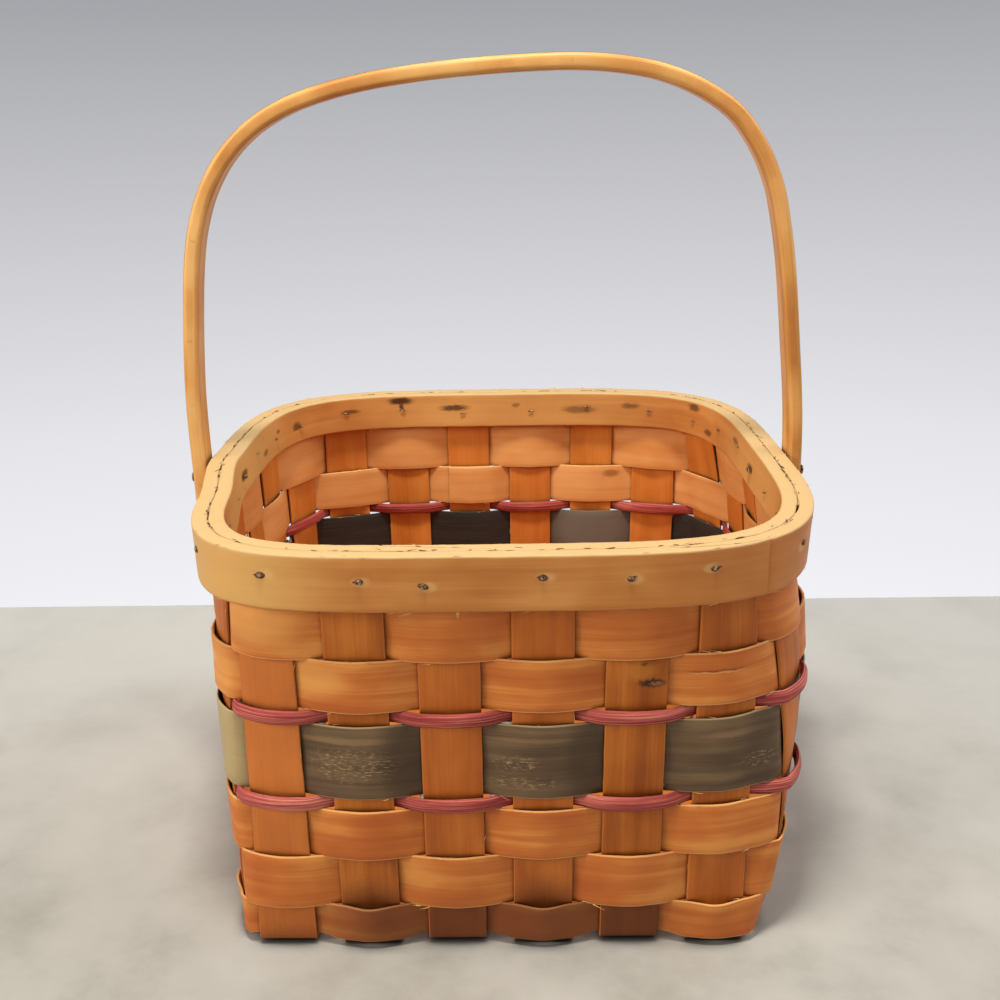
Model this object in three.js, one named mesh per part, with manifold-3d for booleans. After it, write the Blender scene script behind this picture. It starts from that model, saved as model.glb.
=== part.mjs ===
import * as THREE from 'three';
import { mergeVertices } from 'three/addons/utils/BufferGeometryUtils.js';
import Module from 'manifold-3d';

const wasm = await Module();
wasm.setup();

// Driving dimensions of the basket, in millimetres.
const RIM_HALF_WIDTH = 142.8;       // middle to the outside of the rim, left to right
const RIM_HALF_DEPTH = 142.5;       // middle to the outside of the rim, front to back
// Exponents of the superellipse that the rim follows in plan, one for each corner.
const SQUARENESS_FRONT_LEFT = 4.6;
const SQUARENESS_FRONT_RIGHT = 4;
const SQUARENESS_BACK_RIGHT = 4;
const SQUARENESS_BACK_LEFT = 4;
const SIDE_FLARE = 30.3;            // how far the rim stands out past the side walls at the floor
const FRONT_FLARE = 9.5;            // the same for the front and back walls
const BASE_CORNER_CUT = 1.5;        // how far the floor's corner is rounded off in x and in y
const LEFT_SQUEEZE = 8.5;           // how far the rim's left side draws in towards the front corner
const SQUEEZE_REACH = 0.5;          // share of the half depth over which it does so
const WALL_BOW = 0.4;               // share by which the walls lean out more low down than high up
const LEFT_BULGE = 3;               // how far the side walls belly out between the floor and the band
const RIGHT_BULGE = 13;

// The splints.
const STAKE_WIDTH = 25.4;
const STAKE_THICKNESS = 1.4;
const WEAVER_THICKNESS = 1.2;
const REED_THICKNESS = 2.8;
const LENGTHWISE_COUNT = 6;         // stakes that run from the front wall under the floor to the back
const CROSSWISE_COUNT = 7;          // stakes that run from the left wall to the right one
const FLOOR_MARGIN_SIDE = 18.75;    // side wall to the middle of the nearest lengthwise stake
const FLOOR_MARGIN_FRONT = 20.5;    // front wall to the middle of the nearest crosswise stake
const RIM_MARGIN_SIDE = 47.3;       // the same at the rim, measured from its outside
const RIM_MARGIN_FRONT = 33.9;
const GAP = 0.3;                    // free space between two neighbouring pieces
const BASE_HALF_WIDTH = RIM_HALF_WIDTH - SIDE_FLARE;
const BASE_HALF_DEPTH = RIM_HALF_DEPTH - FRONT_FLARE;

// Spacing of stakes whose outermost ones keep their margin to the edge.
function spread(half, margin, count) {
  return (half - margin) / ((count - 1) / 2);
}

const FLOOR_PITCH_WIDTH = spread(BASE_HALF_WIDTH, FLOOR_MARGIN_SIDE, LENGTHWISE_COUNT);
const FLOOR_PITCH_DEPTH = spread(BASE_HALF_DEPTH, FLOOR_MARGIN_FRONT, CROSSWISE_COUNT);
const RIM_PITCH_WIDTH = spread(RIM_HALF_WIDTH, RIM_MARGIN_SIDE, LENGTHWISE_COUNT);
const RIM_PITCH_DEPTH = spread(RIM_HALF_DEPTH, RIM_MARGIN_FRONT, CROSSWISE_COUNT);
const ROW_GAP = 0.5;                // free height between two neighbouring rows
const FLOOR_BEND = 2.4;             // radius of a stake's fold from the floor into the wall
const CROSSING_MARGIN = 0.5;        // flat length of a stake past the edge of the one it crosses
const STAKE_TOP = 1.5;              // depth of the stakes' ends below the rim's top edge

// The rows of the wall from the floor up. Height is what a row takes of the wall, crown how far it
// bulges over a stake, lean how much further its upper edge stands out there, over tells which stakes
// it passes outside, and lap is the stake behind which its ends overlap.
const FLOOR_CLEARANCE_OUTSIDE = 3;
const FLOOR_CLEARANCE_INSIDE = 5.3;
const FOOT_ROW_HEIGHT = 18.4;
const FOURTH_ROW_HEIGHT = 24.9;
const THIRD_ROW_HEIGHT = 23.2;
const LOWER_REED_HEIGHT = 7;
const GREEN_ROW_HEIGHT = 33.8;
const UPPER_REED_HEIGHT = 6.8;
const SECOND_ROW_HEIGHT = 22.8;
const TOP_ROW_HEIGHT = 23;
const FOOT_CROWN = 1.9;
const FOOT_LEAN = 1.6;
const SPLINT_CROWN = 1.5;
const TOP_CROWN = 1.2;
const REED_CROWN = 1.3;

function weaver(name, height, slot, over, crown, lap, lean = 0) {
  return { name, height, slot, over, crown, lap, lean };
}

const ROWS = [
  weaver('weaver_row_5', FOOT_ROW_HEIGHT, 'orange', 1, FOOT_CROWN, 18, FOOT_LEAN),
  weaver('weaver_row_4', FOURTH_ROW_HEIGHT, 'orange', 0, SPLINT_CROWN, 15),
  weaver('weaver_row_3', THIRD_ROW_HEIGHT, 'orange', 1, SPLINT_CROWN, 8),
  weaver('red_reed_lower', LOWER_REED_HEIGHT, 'red', 0, REED_CROWN, 17),
  weaver('green_weaver', GREEN_ROW_HEIGHT, 'green', 1, SPLINT_CROWN, 20),
  weaver('red_reed_upper', UPPER_REED_HEIGHT, 'red', 0, REED_CROWN, 23),
  weaver('weaver_row_2', SECOND_ROW_HEIGHT, 'orange', 1, SPLINT_CROWN, 16),
  weaver('weaver_row_1', TOP_ROW_HEIGHT, 'orange', 0, TOP_CROWN, 7),
];

// The rim: one hoop outside the stakes' ends and one inside, nailed through.
const BAND_THICKNESS = 5.9;
const OUTER_BAND_HEIGHT = 23.6;
const INNER_BAND_HEIGHT = 20.3;
const BAND_GAP = 0.3;
const LAP_TIP = 0.6;                // thickness of a band's tapered end
const OUTER_LAP_START = 4;          // stake at which the outer band's lap begins
const INNER_LAP_START = 1;
const LAP_STATIONS = 5;             // corners of the hoop's outline over which a lap tapers
const ROWS_TOP = ROWS.reduce((sum, row) => sum + row.height, FLOOR_CLEARANCE_OUTSIDE);
const HEIGHT = ROWS_TOP + ROW_GAP + OUTER_BAND_HEIGHT;  // floor to the top edge of the rim

// The swing handle.
const PIVOT_DROP = 10.5;            // depth of the pivots below the rim's top edge
const PIVOT_HEIGHT = HEIGHT - PIVOT_DROP;
const HANDLE_WIDTH = 15;            // along the basket's length
const HANDLE_THICKNESS = 7.3;
const HANDLE_CHAMFER = 1.9;
const HANDLE_STEPS = 32;
const LEG_CLEARANCE = 1.55;         // from the rim's outside to the inner face of the handle's leg
const FOOT_DROP = 13.5;             // length of a leg below its pivot
const BAIL_RISE = 193.7;            // pivot to the middle of the bail's highest stretch
const BAIL_HALF_SPAN = RIM_HALF_WIDTH + LEG_CLEARANCE + HANDLE_THICKNESS / 2;
// The bent shape above the pivots, left to right: shares of the half span and of the rise.
const BAIL_SHAPE = [
  [-1.001, 0.07], [-1.001, 0.204], [-0.976, 0.462], [-0.943, 0.622], [-0.861, 0.768], [-0.71, 0.879],
  [-0.517, 0.939], [-0.243, 0.978], [0.189, 1], [0.378, 0.994], [0.574, 0.961], [0.755, 0.88],
  [0.869, 0.746], [0.923, 0.591], [0.951, 0.441], [0.973, 0.292], [0.988, 0.183], [0.997, 0.059],
];
const BAIL_FOOT = [[-1, -FOOT_DROP / BAIL_RISE], [0.997, -FOOT_DROP / BAIL_RISE]];
const BAIL = [BAIL_FOOT[0], ...BAIL_SHAPE, BAIL_FOOT[1]]
  .map(([across, up]) => [across * BAIL_HALF_SPAN, PIVOT_HEIGHT + up * BAIL_RISE]);

// The nails.
const TACK_DROP = 10;               // depth of a tack below the rim's top edge
const TACK_RADIUS = 0.7;
const TACK_HEAD_RADIUS = 1.7;
const TACK_HEAD_THICKNESS = 0.6;
const TACK_HOLE_RADIUS = 1;
const TACK_TAIL = 4;                // length of the point that is bent over inside
const TACK_TAIL_WIDTH = 0.9;
const TACK_TAIL_THICKNESS = 0.5;
const TACK_SIDES = 4;
const TACK_HEAD_SIDES = 6;
const TACK_WANDER = 2.2;            // how far the tacks stray sideways from the stakes' middles
const TACK_RISE = 1.6;              // how far they stray up and down
const PIVOT_RADIUS = 1.6;
const PIVOT_HOLE_RADIUS = 1.95;
const PIVOT_HEAD_RADIUS = 3.4;
const PIVOT_HEAD_THICKNESS = 1.3;
const PIVOT_TAIL_WIDTH = 1.8;
const PIVOT_TAIL_THICKNESS = 1;
const PIVOT_SIDES = 8;
const PIVOT_HEAD_SIDES = 10;
const TAIL_LIFT = 0.35;             // how far the bent point stands off the band at its root

const MATERIALS = {
  stake: new THREE.MeshStandardMaterial({ color: 0xb9692c, roughness: 0.55, metalness: 0 }),
  orange: new THREE.MeshStandardMaterial({ color: 0xcf8545, roughness: 0.5, metalness: 0 }),
  red: new THREE.MeshStandardMaterial({ color: 0xa94a50, roughness: 0.6, metalness: 0 }),
  green: new THREE.MeshStandardMaterial({ color: 0x6a5f4c, roughness: 0.6, metalness: 0 }),
  band: new THREE.MeshStandardMaterial({ color: 0xcf9750, roughness: 0.5, metalness: 0 }),
  handle: new THREE.MeshStandardMaterial({ color: 0xd39448, roughness: 0.45, metalness: 0 }),
  nail: new THREE.MeshStandardMaterial({ color: 0x4a4038, roughness: 0.5, metalness: 0.8 }),
};

const basket = new THREE.Group();
basket.name = 'splint_basket';

function addPiece(name, geometry, material) {
  const mesh = new THREE.Mesh(geometry, material);
  mesh.name = name;
  basket.add(mesh);
  return mesh;
}

// The rim's middle line is a superellipse, walked anticlockwise from the middle of the front.
function squareness(x, y) {
  if (y < 0) {
    return x < 0 ? SQUARENESS_FRONT_LEFT : SQUARENESS_FRONT_RIGHT;
  }
  return x < 0 ? SQUARENESS_BACK_LEFT : SQUARENESS_BACK_RIGHT;
}

const RIM_SAMPLES = 2400;
const WALL_TO_RIM = STAKE_THICKNESS / 2 + BAND_GAP + BAND_THICKNESS;
const rimHalf = new THREE.Vector2(RIM_HALF_WIDTH - WALL_TO_RIM, RIM_HALF_DEPTH - WALL_TO_RIM);
const rimPoints = [];
const rimLengths = [0];

// How far a point of the rim is drawn in on the left.
function squeeze(x, y) {
  const along = Math.min(1, Math.max(0, -y / (rimHalf.y * SQUEEZE_REACH)));
  const across = Math.max(0, -x / rimHalf.x);
  return LEFT_SQUEEZE * along * along * (3 - 2 * along) * across * across;
}

for (let i = 0; i <= RIM_SAMPLES; i += 1) {
  const angle = (2 * Math.PI * i) / RIM_SAMPLES - Math.PI / 2;
  const cos = Math.cos(angle);
  const sin = Math.sin(angle);
  const power = squareness(cos, sin);
  const sum = Math.abs(cos / rimHalf.x) ** power + Math.abs(sin / rimHalf.y) ** power;
  const radius = sum ** (-1 / power);
  rimPoints.push(new THREE.Vector2(radius * cos + squeeze(radius * cos, radius * sin), radius * sin));
  if (i > 0) {
    rimLengths.push(rimLengths[i - 1] + rimPoints[i].distanceTo(rimPoints[i - 1]));
  }
}
const RIM_LENGTH = rimLengths[RIM_SAMPLES];
const rimNormals = rimPoints.map((point, i) => {
  const before = rimPoints[(i + RIM_SAMPLES - 1) % RIM_SAMPLES];
  const after = rimPoints[(i + 1) % RIM_SAMPLES];
  return new THREE.Vector2(after.y - before.y, before.x - after.x).normalize();
});

function rimAt(arc) {
  const wanted = ((arc % RIM_LENGTH) + RIM_LENGTH) % RIM_LENGTH;
  let low = 0;
  let high = RIM_SAMPLES;
  while (high - low > 1) {
    const middle = Math.floor((low + high) / 2);
    if (rimLengths[middle] > wanted) {
      high = middle;
    } else {
      low = middle;
    }
  }
  const share = (wanted - rimLengths[low]) / (rimLengths[high] - rimLengths[low]);
  const point = rimPoints[low].clone().lerp(rimPoints[high], share);
  const normal = rimNormals[low].clone().lerp(rimNormals[high], share).normalize();
  return { point, normal };
}

// The ends of the stakes in the order in which a weaver meets them, starting front left.
const ends = [];
const WALL_COUNT = 4;

// Distance along the rim at which a wall has its middle.
function middleArc(turn) {
  return rimLengths[(turn * RIM_SAMPLES) / WALL_COUNT];
}

const wide = {
  count: LENGTHWISE_COUNT, depth: BASE_HALF_DEPTH, floorPitch: FLOOR_PITCH_WIDTH, rimPitch: RIM_PITCH_WIDTH,
};
const deep = {
  count: CROSSWISE_COUNT, depth: BASE_HALF_WIDTH, floorPitch: FLOOR_PITCH_DEPTH, rimPitch: RIM_PITCH_DEPTH,
};
const walls = [
  { name: 'front', turn: 0, ...wide },
  { name: 'right', turn: 1, ...deep },
  { name: 'back', turn: 2, ...wide },
  { name: 'left', turn: 3, ...deep },
];
for (const wall of walls) {
  const angle = (wall.turn * Math.PI) / 2;
  const along = new THREE.Vector2(Math.round(Math.cos(angle)), Math.round(Math.sin(angle)));
  const out = new THREE.Vector2(along.y, -along.x);
  for (let i = 0; i < wall.count; i += 1) {
    const place = i - (wall.count - 1) / 2;
    ends.push({
      wall: wall.name,
      number: wall.turn < 2 ? i + 1 : wall.count - i,
      foot: out.clone().multiplyScalar(wall.depth).addScaledVector(along, place * wall.floorPitch),
      along,
      out,
      arc: middleArc(wall.turn) + place * wall.rimPitch,
    });
  }
}
const END_COUNT = ends.length;

// Places across a stake's face. The middle stakes of each wall stay flat, and the others are
// curved across their width where the wall rounds its corner.
const HALF_STAKE = STAKE_WIDTH / 2;
const FLAT_REACH = 40;              // arc from a wall's middle within which its stakes stay flat
for (const end of ends) {
  const turn = walls.findIndex((wall) => wall.name === end.wall);
  const flat = Math.abs(end.arc - middleArc(turn)) < FLAT_REACH;
  end.across = flat ? [-HALF_STAKE, HALF_STAKE] : [-HALF_STAKE, 0, HALF_STAKE];
}

// Share of the way from the floor's outline to the rim's at a height.
function rise(z) {
  const share = Math.max(0, z / HEIGHT);
  return share + WALL_BOW * share * (1 - share);
}

// Share of its full belly that a side wall has at a height. None is left behind the band.
function belly(z) {
  const share = Math.min(1, Math.max(0, z / (HEIGHT - OUTER_BAND_HEIGHT)));
  return 4 * share * (1 - share);
}

function wallPoint(foot, out, arc, z) {
  const rim = rimAt(arc);
  const share = rise(z);
  const point = foot.clone().lerp(rim.point, share);
  const normal = out.clone().lerp(rim.normal, share).normalize();
  const bulge = normal.x < 0 ? -LEFT_BULGE : RIGHT_BULGE;
  point.x += bulge * belly(z) * normal.x ** 2;
  return { point, normal };
}

// A point of the wall's middle surface on a stake, a distance beside the stake's own middle.
function onStake(index, beside, z) {
  const end = ends[(index + END_COUNT) % END_COUNT];
  const foot = end.foot.clone().addScaledVector(end.along, beside);
  return wallPoint(foot, end.out, end.arc + beside, z);
}

// The middle of the space between a stake and the next one.
function inGap(index, z) {
  const here = ends[(index + END_COUNT) % END_COUNT];
  const next = ends[(index + 1) % END_COUNT];
  const span = (next.arc - here.arc + RIM_LENGTH) % RIM_LENGTH;
  const arc = here.arc + span / 2;
  if (here.wall === next.wall) {
    return wallPoint(here.foot.clone().add(next.foot).multiplyScalar(0.5), here.out, arc, z);
  }
  const cut = BASE_CORNER_CUT;
  const corner = new THREE.Vector2(
    (here.out.x + next.out.x) * (BASE_HALF_WIDTH - cut),
    (here.out.y + next.out.y) * (BASE_HALF_DEPTH - cut),
  );
  return wallPoint(corner, here.out.clone().add(next.out).normalize(), arc, z);
}

function offsetPoint(place, offset, z) {
  return new THREE.Vector3(
    place.point.x + place.normal.x * offset,
    place.point.y + place.normal.y * offset,
    z,
  );
}

// Joins a run of equal outlines into one closed body, with a flat strip at each of its two ends.
// The outline's points are ordered so that point i lies opposite point count - 1 - i.
function sweepOutlines(outlines) {
  const count = outlines[0].length;
  const positions = [];
  for (const outline of outlines) {
    for (const point of outline) {
      positions.push(point.x, point.y, point.z);
    }
  }
  const faces = [];
  for (let ring = 0; ring < outlines.length - 1; ring += 1) {
    for (let i = 0; i < count; i += 1) {
      const a = ring * count + i;
      const b = ring * count + ((i + 1) % count);
      faces.push([a, b, b + count], [a, b + count, a + count]);
    }
  }
  const last = (outlines.length - 1) * count;
  for (let i = 0; i < count / 2 - 1; i += 1) {
    const near = i;
    const nearNext = i + 1;
    const far = count - 1 - i;
    const farNext = count - 2 - i;
    faces.push([near, farNext, nearNext], [near, far, farNext]);
    faces.push([last + near, last + nearNext, last + farNext], [last + near, last + farNext, last + far]);
  }
  return faceOut(positions, faces);
}

// Builds the geometry, turned inside out where its faces would point in.
function faceOut(positions, faces) {
  let volume = 0;
  const a = new THREE.Vector3();
  const b = new THREE.Vector3();
  const c = new THREE.Vector3();
  for (const face of faces) {
    a.fromArray(positions, face[0] * 3);
    b.fromArray(positions, face[1] * 3);
    c.fromArray(positions, face[2] * 3);
    volume += a.dot(b.cross(c));
  }
  const index = faces.flatMap((face) => (volume < 0 ? [face[0], face[2], face[1]] : face));
  const geometry = new THREE.BufferGeometry();
  geometry.setAttribute('position', new THREE.Float32BufferAttribute(positions, 3));
  geometry.setIndex(index);
  geometry.computeVertexNormals();
  return geometry;
}

const MERGE_DISTANCE = 1e-4;

function toSolid(geometry) {
  const bare = geometry.clone();
  bare.deleteAttribute('normal');
  bare.deleteAttribute('uv');
  const merged = mergeVertices(bare, MERGE_DISTANCE);
  const vertProperties = new Float32Array(merged.attributes.position.array);
  const triVerts = new Uint32Array(merged.index.array);
  return new wasm.Manifold(new wasm.Mesh({ numProp: 3, vertProperties, triVerts }));
}

function toGeometry(solid) {
  const mesh = solid.getMesh();
  const geometry = new THREE.BufferGeometry();
  const positions = Float32Array.from(mesh.vertProperties);
  geometry.setAttribute('position', new THREE.Float32BufferAttribute(positions, 3));
  geometry.setIndex([...mesh.triVerts]);
  geometry.computeVertexNormals();
  return geometry;
}

// A straight pin between two distances along an outward direction from a point in the wall.
function pin(origin, direction, from, to, radius, sides) {
  const geometry = new THREE.CylinderGeometry(radius, radius, to - from, sides, 1);
  geometry.translate(0, (from + to) / 2, 0);
  const turn = new THREE.Quaternion().setFromUnitVectors(new THREE.Vector3(0, 1, 0), direction);
  geometry.applyQuaternion(turn);
  geometry.translate(origin.x, origin.y, origin.z);
  return toSolid(geometry);
}

// Where each nail goes through the rim. The middle stake of each side wall takes the pivot nail.
const FRONT_TACK_SHIFTS = [5, 4.8, -8.6, -0.4, -4.7, -10.6];
const FRONT_TACK_DROPS = [9.2, 10.3, 12.3, 9.2, 10.4, 8.4];
const TACK_WAVE_SIDE = 2.4;
const TACK_WAVE_UP = 1.7;
const sideMiddle = (CROSSWISE_COUNT + 1) / 2;
const nails = ends.map((end, index) => {
  const pivot = (end.wall === 'left' || end.wall === 'right') && end.number === sideMiddle;
  let beside = TACK_WANDER * Math.sin(index * TACK_WAVE_SIDE);
  let drop = TACK_DROP + TACK_RISE * Math.sin(index * TACK_WAVE_UP);
  if (end.wall === 'front') {
    beside = FRONT_TACK_SHIFTS[index];
    drop = FRONT_TACK_DROPS[index];
  }
  if (pivot) {
    beside = 0;
    drop = HEIGHT - PIVOT_HEIGHT;
  }
  const z = HEIGHT - drop;
  const place = onStake(index, beside, z);
  const { x, y } = pivot ? end.out : place.normal;
  return {
    index,
    end,
    pivot,
    origin: new THREE.Vector3(place.point.x, place.point.y, z),
    direction: new THREE.Vector3(x, y, 0),
  };
});
const HOLE_REACH = 12;
const holes = nails.map((nail) => pin(
  nail.origin,
  nail.direction,
  -HOLE_REACH,
  HOLE_REACH,
  nail.pivot ? PIVOT_HOLE_RADIUS : TACK_HOLE_RADIUS,
  nail.pivot ? PIVOT_SIDES : TACK_SIDES,
));

function stakeOutline(middles, outward) {
  const half = STAKE_THICKNESS / 2;
  const inner = middles.map((point) => point.clone().addScaledVector(outward(point), -half));
  const outer = middles.map((point) => point.clone().addScaledVector(outward(point), half));
  return [...inner, ...outer.reverse()];
}

const FOLD_CLEAR = 8;               // height at which a stake has left its fold at the floor
const WALL_LEVELS = [FOLD_CLEAR];
// Each level lies between two weavers, or in a reed's height.
ROWS.reduce((bottom, row) => {
  const top = bottom + row.height;
  const next = ROWS[ROWS.indexOf(row) + 1];
  if (row.slot === 'red') {
    WALL_LEVELS.push(bottom, bottom + row.height / 2, top - ROW_GAP);
  } else if (!next || next.slot !== 'red') {
    WALL_LEVELS.push(top - ROW_GAP / 2);
  }
  return top;
}, FLOOR_CLEARANCE_OUTSIDE);
WALL_LEVELS.push(HEIGHT - STAKE_TOP);
const BEND_ANGLES = [0, Math.PI / 4, Math.PI / 2];

// The outlines of one end of a stake, from the top of the wall down to the floor.
function stakeEnd(index, level) {
  const outlines = [];
  for (const z of [...WALL_LEVELS].reverse()) {
    const places = ends[index].across.map((beside) => onStake(index, beside, z));
    const middles = places.map((place) => new THREE.Vector3(place.point.x, place.point.y, z));
    const normals = new Map(middles.map((point, i) => [point, places[i].normal]));
    outlines.push(stakeOutline(middles, (point) => {
      const normal = normals.get(point);
      return new THREE.Vector3(normal.x, normal.y, 0);
    }));
  }
  const foldTop = level + FLOOR_BEND;
  for (const angle of [...BEND_ANGLES].reverse()) {
    const { out } = ends[index];
    const back = FLOOR_BEND * (1 - Math.sin(angle));
    const z = level + FLOOR_BEND * (1 - Math.cos(angle));
    const middles = ends[index].across.map((beside) => {
      const place = onStake(index, beside, foldTop);
      return new THREE.Vector3(place.point.x - out.x * back, place.point.y - out.y * back, z);
    });
    const outward = new THREE.Vector3(out.x * Math.sin(angle), out.y * Math.sin(angle), -Math.cos(angle));
    outlines.push(stakeOutline(middles, () => outward));
  }
  return outlines;
}

const FLOOR_LOW = STAKE_THICKNESS / 2;
const FLOOR_HIGH = FLOOR_LOW + STAKE_THICKNESS + GAP;

// Where a lengthwise and a crosswise stake cross in the floor, the crosswise one runs below
// when the two numbers add up to an even number.
function crosswiseBelow(lengthwise, crosswise) {
  return (lengthwise + crosswise) % 2 === 0;
}

// A whole stake: down one wall, under the basket through the plain weave, and up the other wall.
function addStake(name, startIndex, finishIndex, crossings, pitch, isBelow) {
  const start = ends[startIndex];
  const flat = STAKE_WIDTH / 2 + CROSSING_MARGIN;
  const levels = crossings.map((number) => (isBelow(number) ? FLOOR_LOW : FLOOR_HIGH));
  const outlines = stakeEnd(startIndex, levels[0]);
  const inward = start.out.clone().negate();
  const down = new THREE.Vector3(0, 0, -1);
  crossings.forEach((number, i) => {
    const distance = (i - (crossings.length - 1) / 2) * pitch;
    for (const side of [-flat, flat]) {
      const travel = distance + side;
      const middles = start.across.map((beside) => new THREE.Vector3(
        inward.x * travel + start.along.x * (start.foot.dot(start.along) + beside),
        inward.y * travel + start.along.y * (start.foot.dot(start.along) + beside),
        levels[i],
      ));
      outlines.push(stakeOutline(middles, () => down));
    }
  });
  // The far wall's outlines run the other way round, so each one is mirrored across the stake.
  const finish = stakeEnd(finishIndex, levels[levels.length - 1]).reverse();
  const width = start.across.length;
  for (const outline of finish) {
    const inner = outline.slice(0, width).reverse();
    const outer = outline.slice(width).reverse();
    outlines.push([...inner, ...outer]);
  }
  const solid = toSolid(sweepOutlines(outlines)).subtract(holes[startIndex]).subtract(holes[finishIndex]);
  addPiece(name, toGeometry(solid), MATERIALS.stake);
}

function endIndex(wall, number) {
  return ends.findIndex((end) => end.wall === wall && end.number === number);
}

const lengthwiseNumbers = Array.from({ length: LENGTHWISE_COUNT }, (unused, i) => i + 1);
const crosswiseNumbers = Array.from({ length: CROSSWISE_COUNT }, (unused, i) => i + 1);
for (const number of lengthwiseNumbers) {
  addStake(
    `lengthwise_stake_${number}`,
    endIndex('front', number),
    endIndex('back', number),
    crosswiseNumbers,
    FLOOR_PITCH_DEPTH,
    (crosswise) => !crosswiseBelow(number, crosswise),
  );
}
for (const number of crosswiseNumbers) {
  addStake(
    `crosswise_stake_${number}`,
    endIndex('left', number),
    endIndex('right', number),
    lengthwiseNumbers,
    FLOOR_PITCH_WIDTH,
    (lengthwise) => crosswiseBelow(lengthwise, number),
  );
}

// A weaver goes outside every second stake and inside the others, and crosses the wall's middle
// surface in the spaces. Its finishing end lies inside its starting end, behind one stake.
const CROWN_PLACE = STAKE_WIDTH / 6;

function weaverStations(row, thickness) {
  const edge = STAKE_THICKNESS / 2 + GAP + thickness / 2;
  const stations = [];
  for (let step = 0; step <= END_COUNT; step += 1) {
    const index = (row.lap + step) % END_COUNT;
    const outside = index % 2 === row.over;
    if (outside) {
      const top = edge + row.crown;
      for (const [beside, offset] of [
        [-HALF_STAKE, edge], [-CROWN_PLACE, top], [CROWN_PLACE, top], [HALF_STAKE, edge],
      ]) {
        stations.push({ place: (z) => onStake(index, beside, z), offset, outside, crown: offset === top });
      }
    } else {
      const offset = step === END_COUNT ? -(edge + thickness + GAP) : -edge;
      for (const beside of ends[index].across) {
        stations.push({ place: (z) => onStake(index, beside, z), offset, outside });
      }
    }
    if (step < END_COUNT) {
      stations.push({ place: (z) => inGap(index, z), offset: 0, outside: false });
    }
  }
  return stations;
}

function addWeaver(row, low, high, lowInside) {
  const reed = row.slot === 'red';
  const thickness = reed ? REED_THICKNESS : WEAVER_THICKNESS;
  const outlines = weaverStations(row, thickness).map((station) => {
    const bottom = station.outside ? low : lowInside;
    const below = station.place(bottom);
    const above = station.place(high);
    const half = thickness / 2;
    const { offset } = station;
    if (!reed) {
      const upper = offset + (station.crown ? row.lean : 0);
      return [
        offsetPoint(below, offset - half, bottom), offsetPoint(above, upper - half, high),
        offsetPoint(above, upper + half, high), offsetPoint(below, offset + half, bottom),
      ];
    }
    const middle = (bottom + high) / 2;
    const centre = station.place(middle);
    return [
      offsetPoint(below, offset, bottom), offsetPoint(centre, offset - half, middle),
      offsetPoint(above, offset, high), offsetPoint(centre, offset + half, middle),
    ];
  });
  addPiece(row.name, sweepOutlines(outlines), MATERIALS[row.slot]);
}

let rowBottom = FLOOR_CLEARANCE_OUTSIDE;
ROWS.forEach((row, i) => {
  const high = rowBottom + row.height - ROW_GAP;
  addWeaver(row, rowBottom, high, i === 0 ? FLOOR_CLEARANCE_INSIDE : rowBottom);
  rowBottom += row.height;
});

// A band is a hoop whose two tapered ends lie over each other in a long scarf.
function addBand(name, innerFace, outerFace, height, lapStart) {
  const low = HEIGHT - height;
  const hoop = [];
  for (let step = 0; step < END_COUNT; step += 1) {
    const index = (lapStart + step) % END_COUNT;
    for (const distance of ends[index].across) {
      hoop.push((z) => onStake(index, distance, z));
    }
    hoop.push((z) => inGap(index, z));
  }
  const lap = LAP_STATIONS;
  const first = ends[lapStart].across.length - 1;
  const stations = [];
  const split = (share) => innerFace + LAP_TIP + share * (outerFace - innerFace - 2 * LAP_TIP - BAND_GAP);
  for (let i = 0; i < hoop.length + lap; i += 1) {
    const place = hoop[(first + i) % hoop.length];
    let from = innerFace;
    let to = outerFace;
    if (i < lap) {
      to = split(i / (lap - 1));
    }
    if (i >= hoop.length) {
      from = split((i - hoop.length) / (lap - 1)) + BAND_GAP;
    }
    stations.push({ place, from, to });
  }
  const outlines = stations.map(({ place, from, to }) => {
    const below = place(low);
    const above = place(HEIGHT);
    return [
      offsetPoint(below, from, low), offsetPoint(above, from, HEIGHT),
      offsetPoint(above, to, HEIGHT), offsetPoint(below, to, low),
    ];
  });
  let solid = toSolid(sweepOutlines(outlines));
  for (const hole of holes) {
    solid = solid.subtract(hole);
  }
  addPiece(name, toGeometry(solid), MATERIALS.band);
}

const faceOffset = STAKE_THICKNESS / 2 + BAND_GAP;
addBand('outer_rim_band', faceOffset, faceOffset + BAND_THICKNESS, OUTER_BAND_HEIGHT, OUTER_LAP_START);
addBand('inner_rim_band', -faceOffset - BAND_THICKNESS, -faceOffset, INNER_BAND_HEIGHT, INNER_LAP_START);

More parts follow.
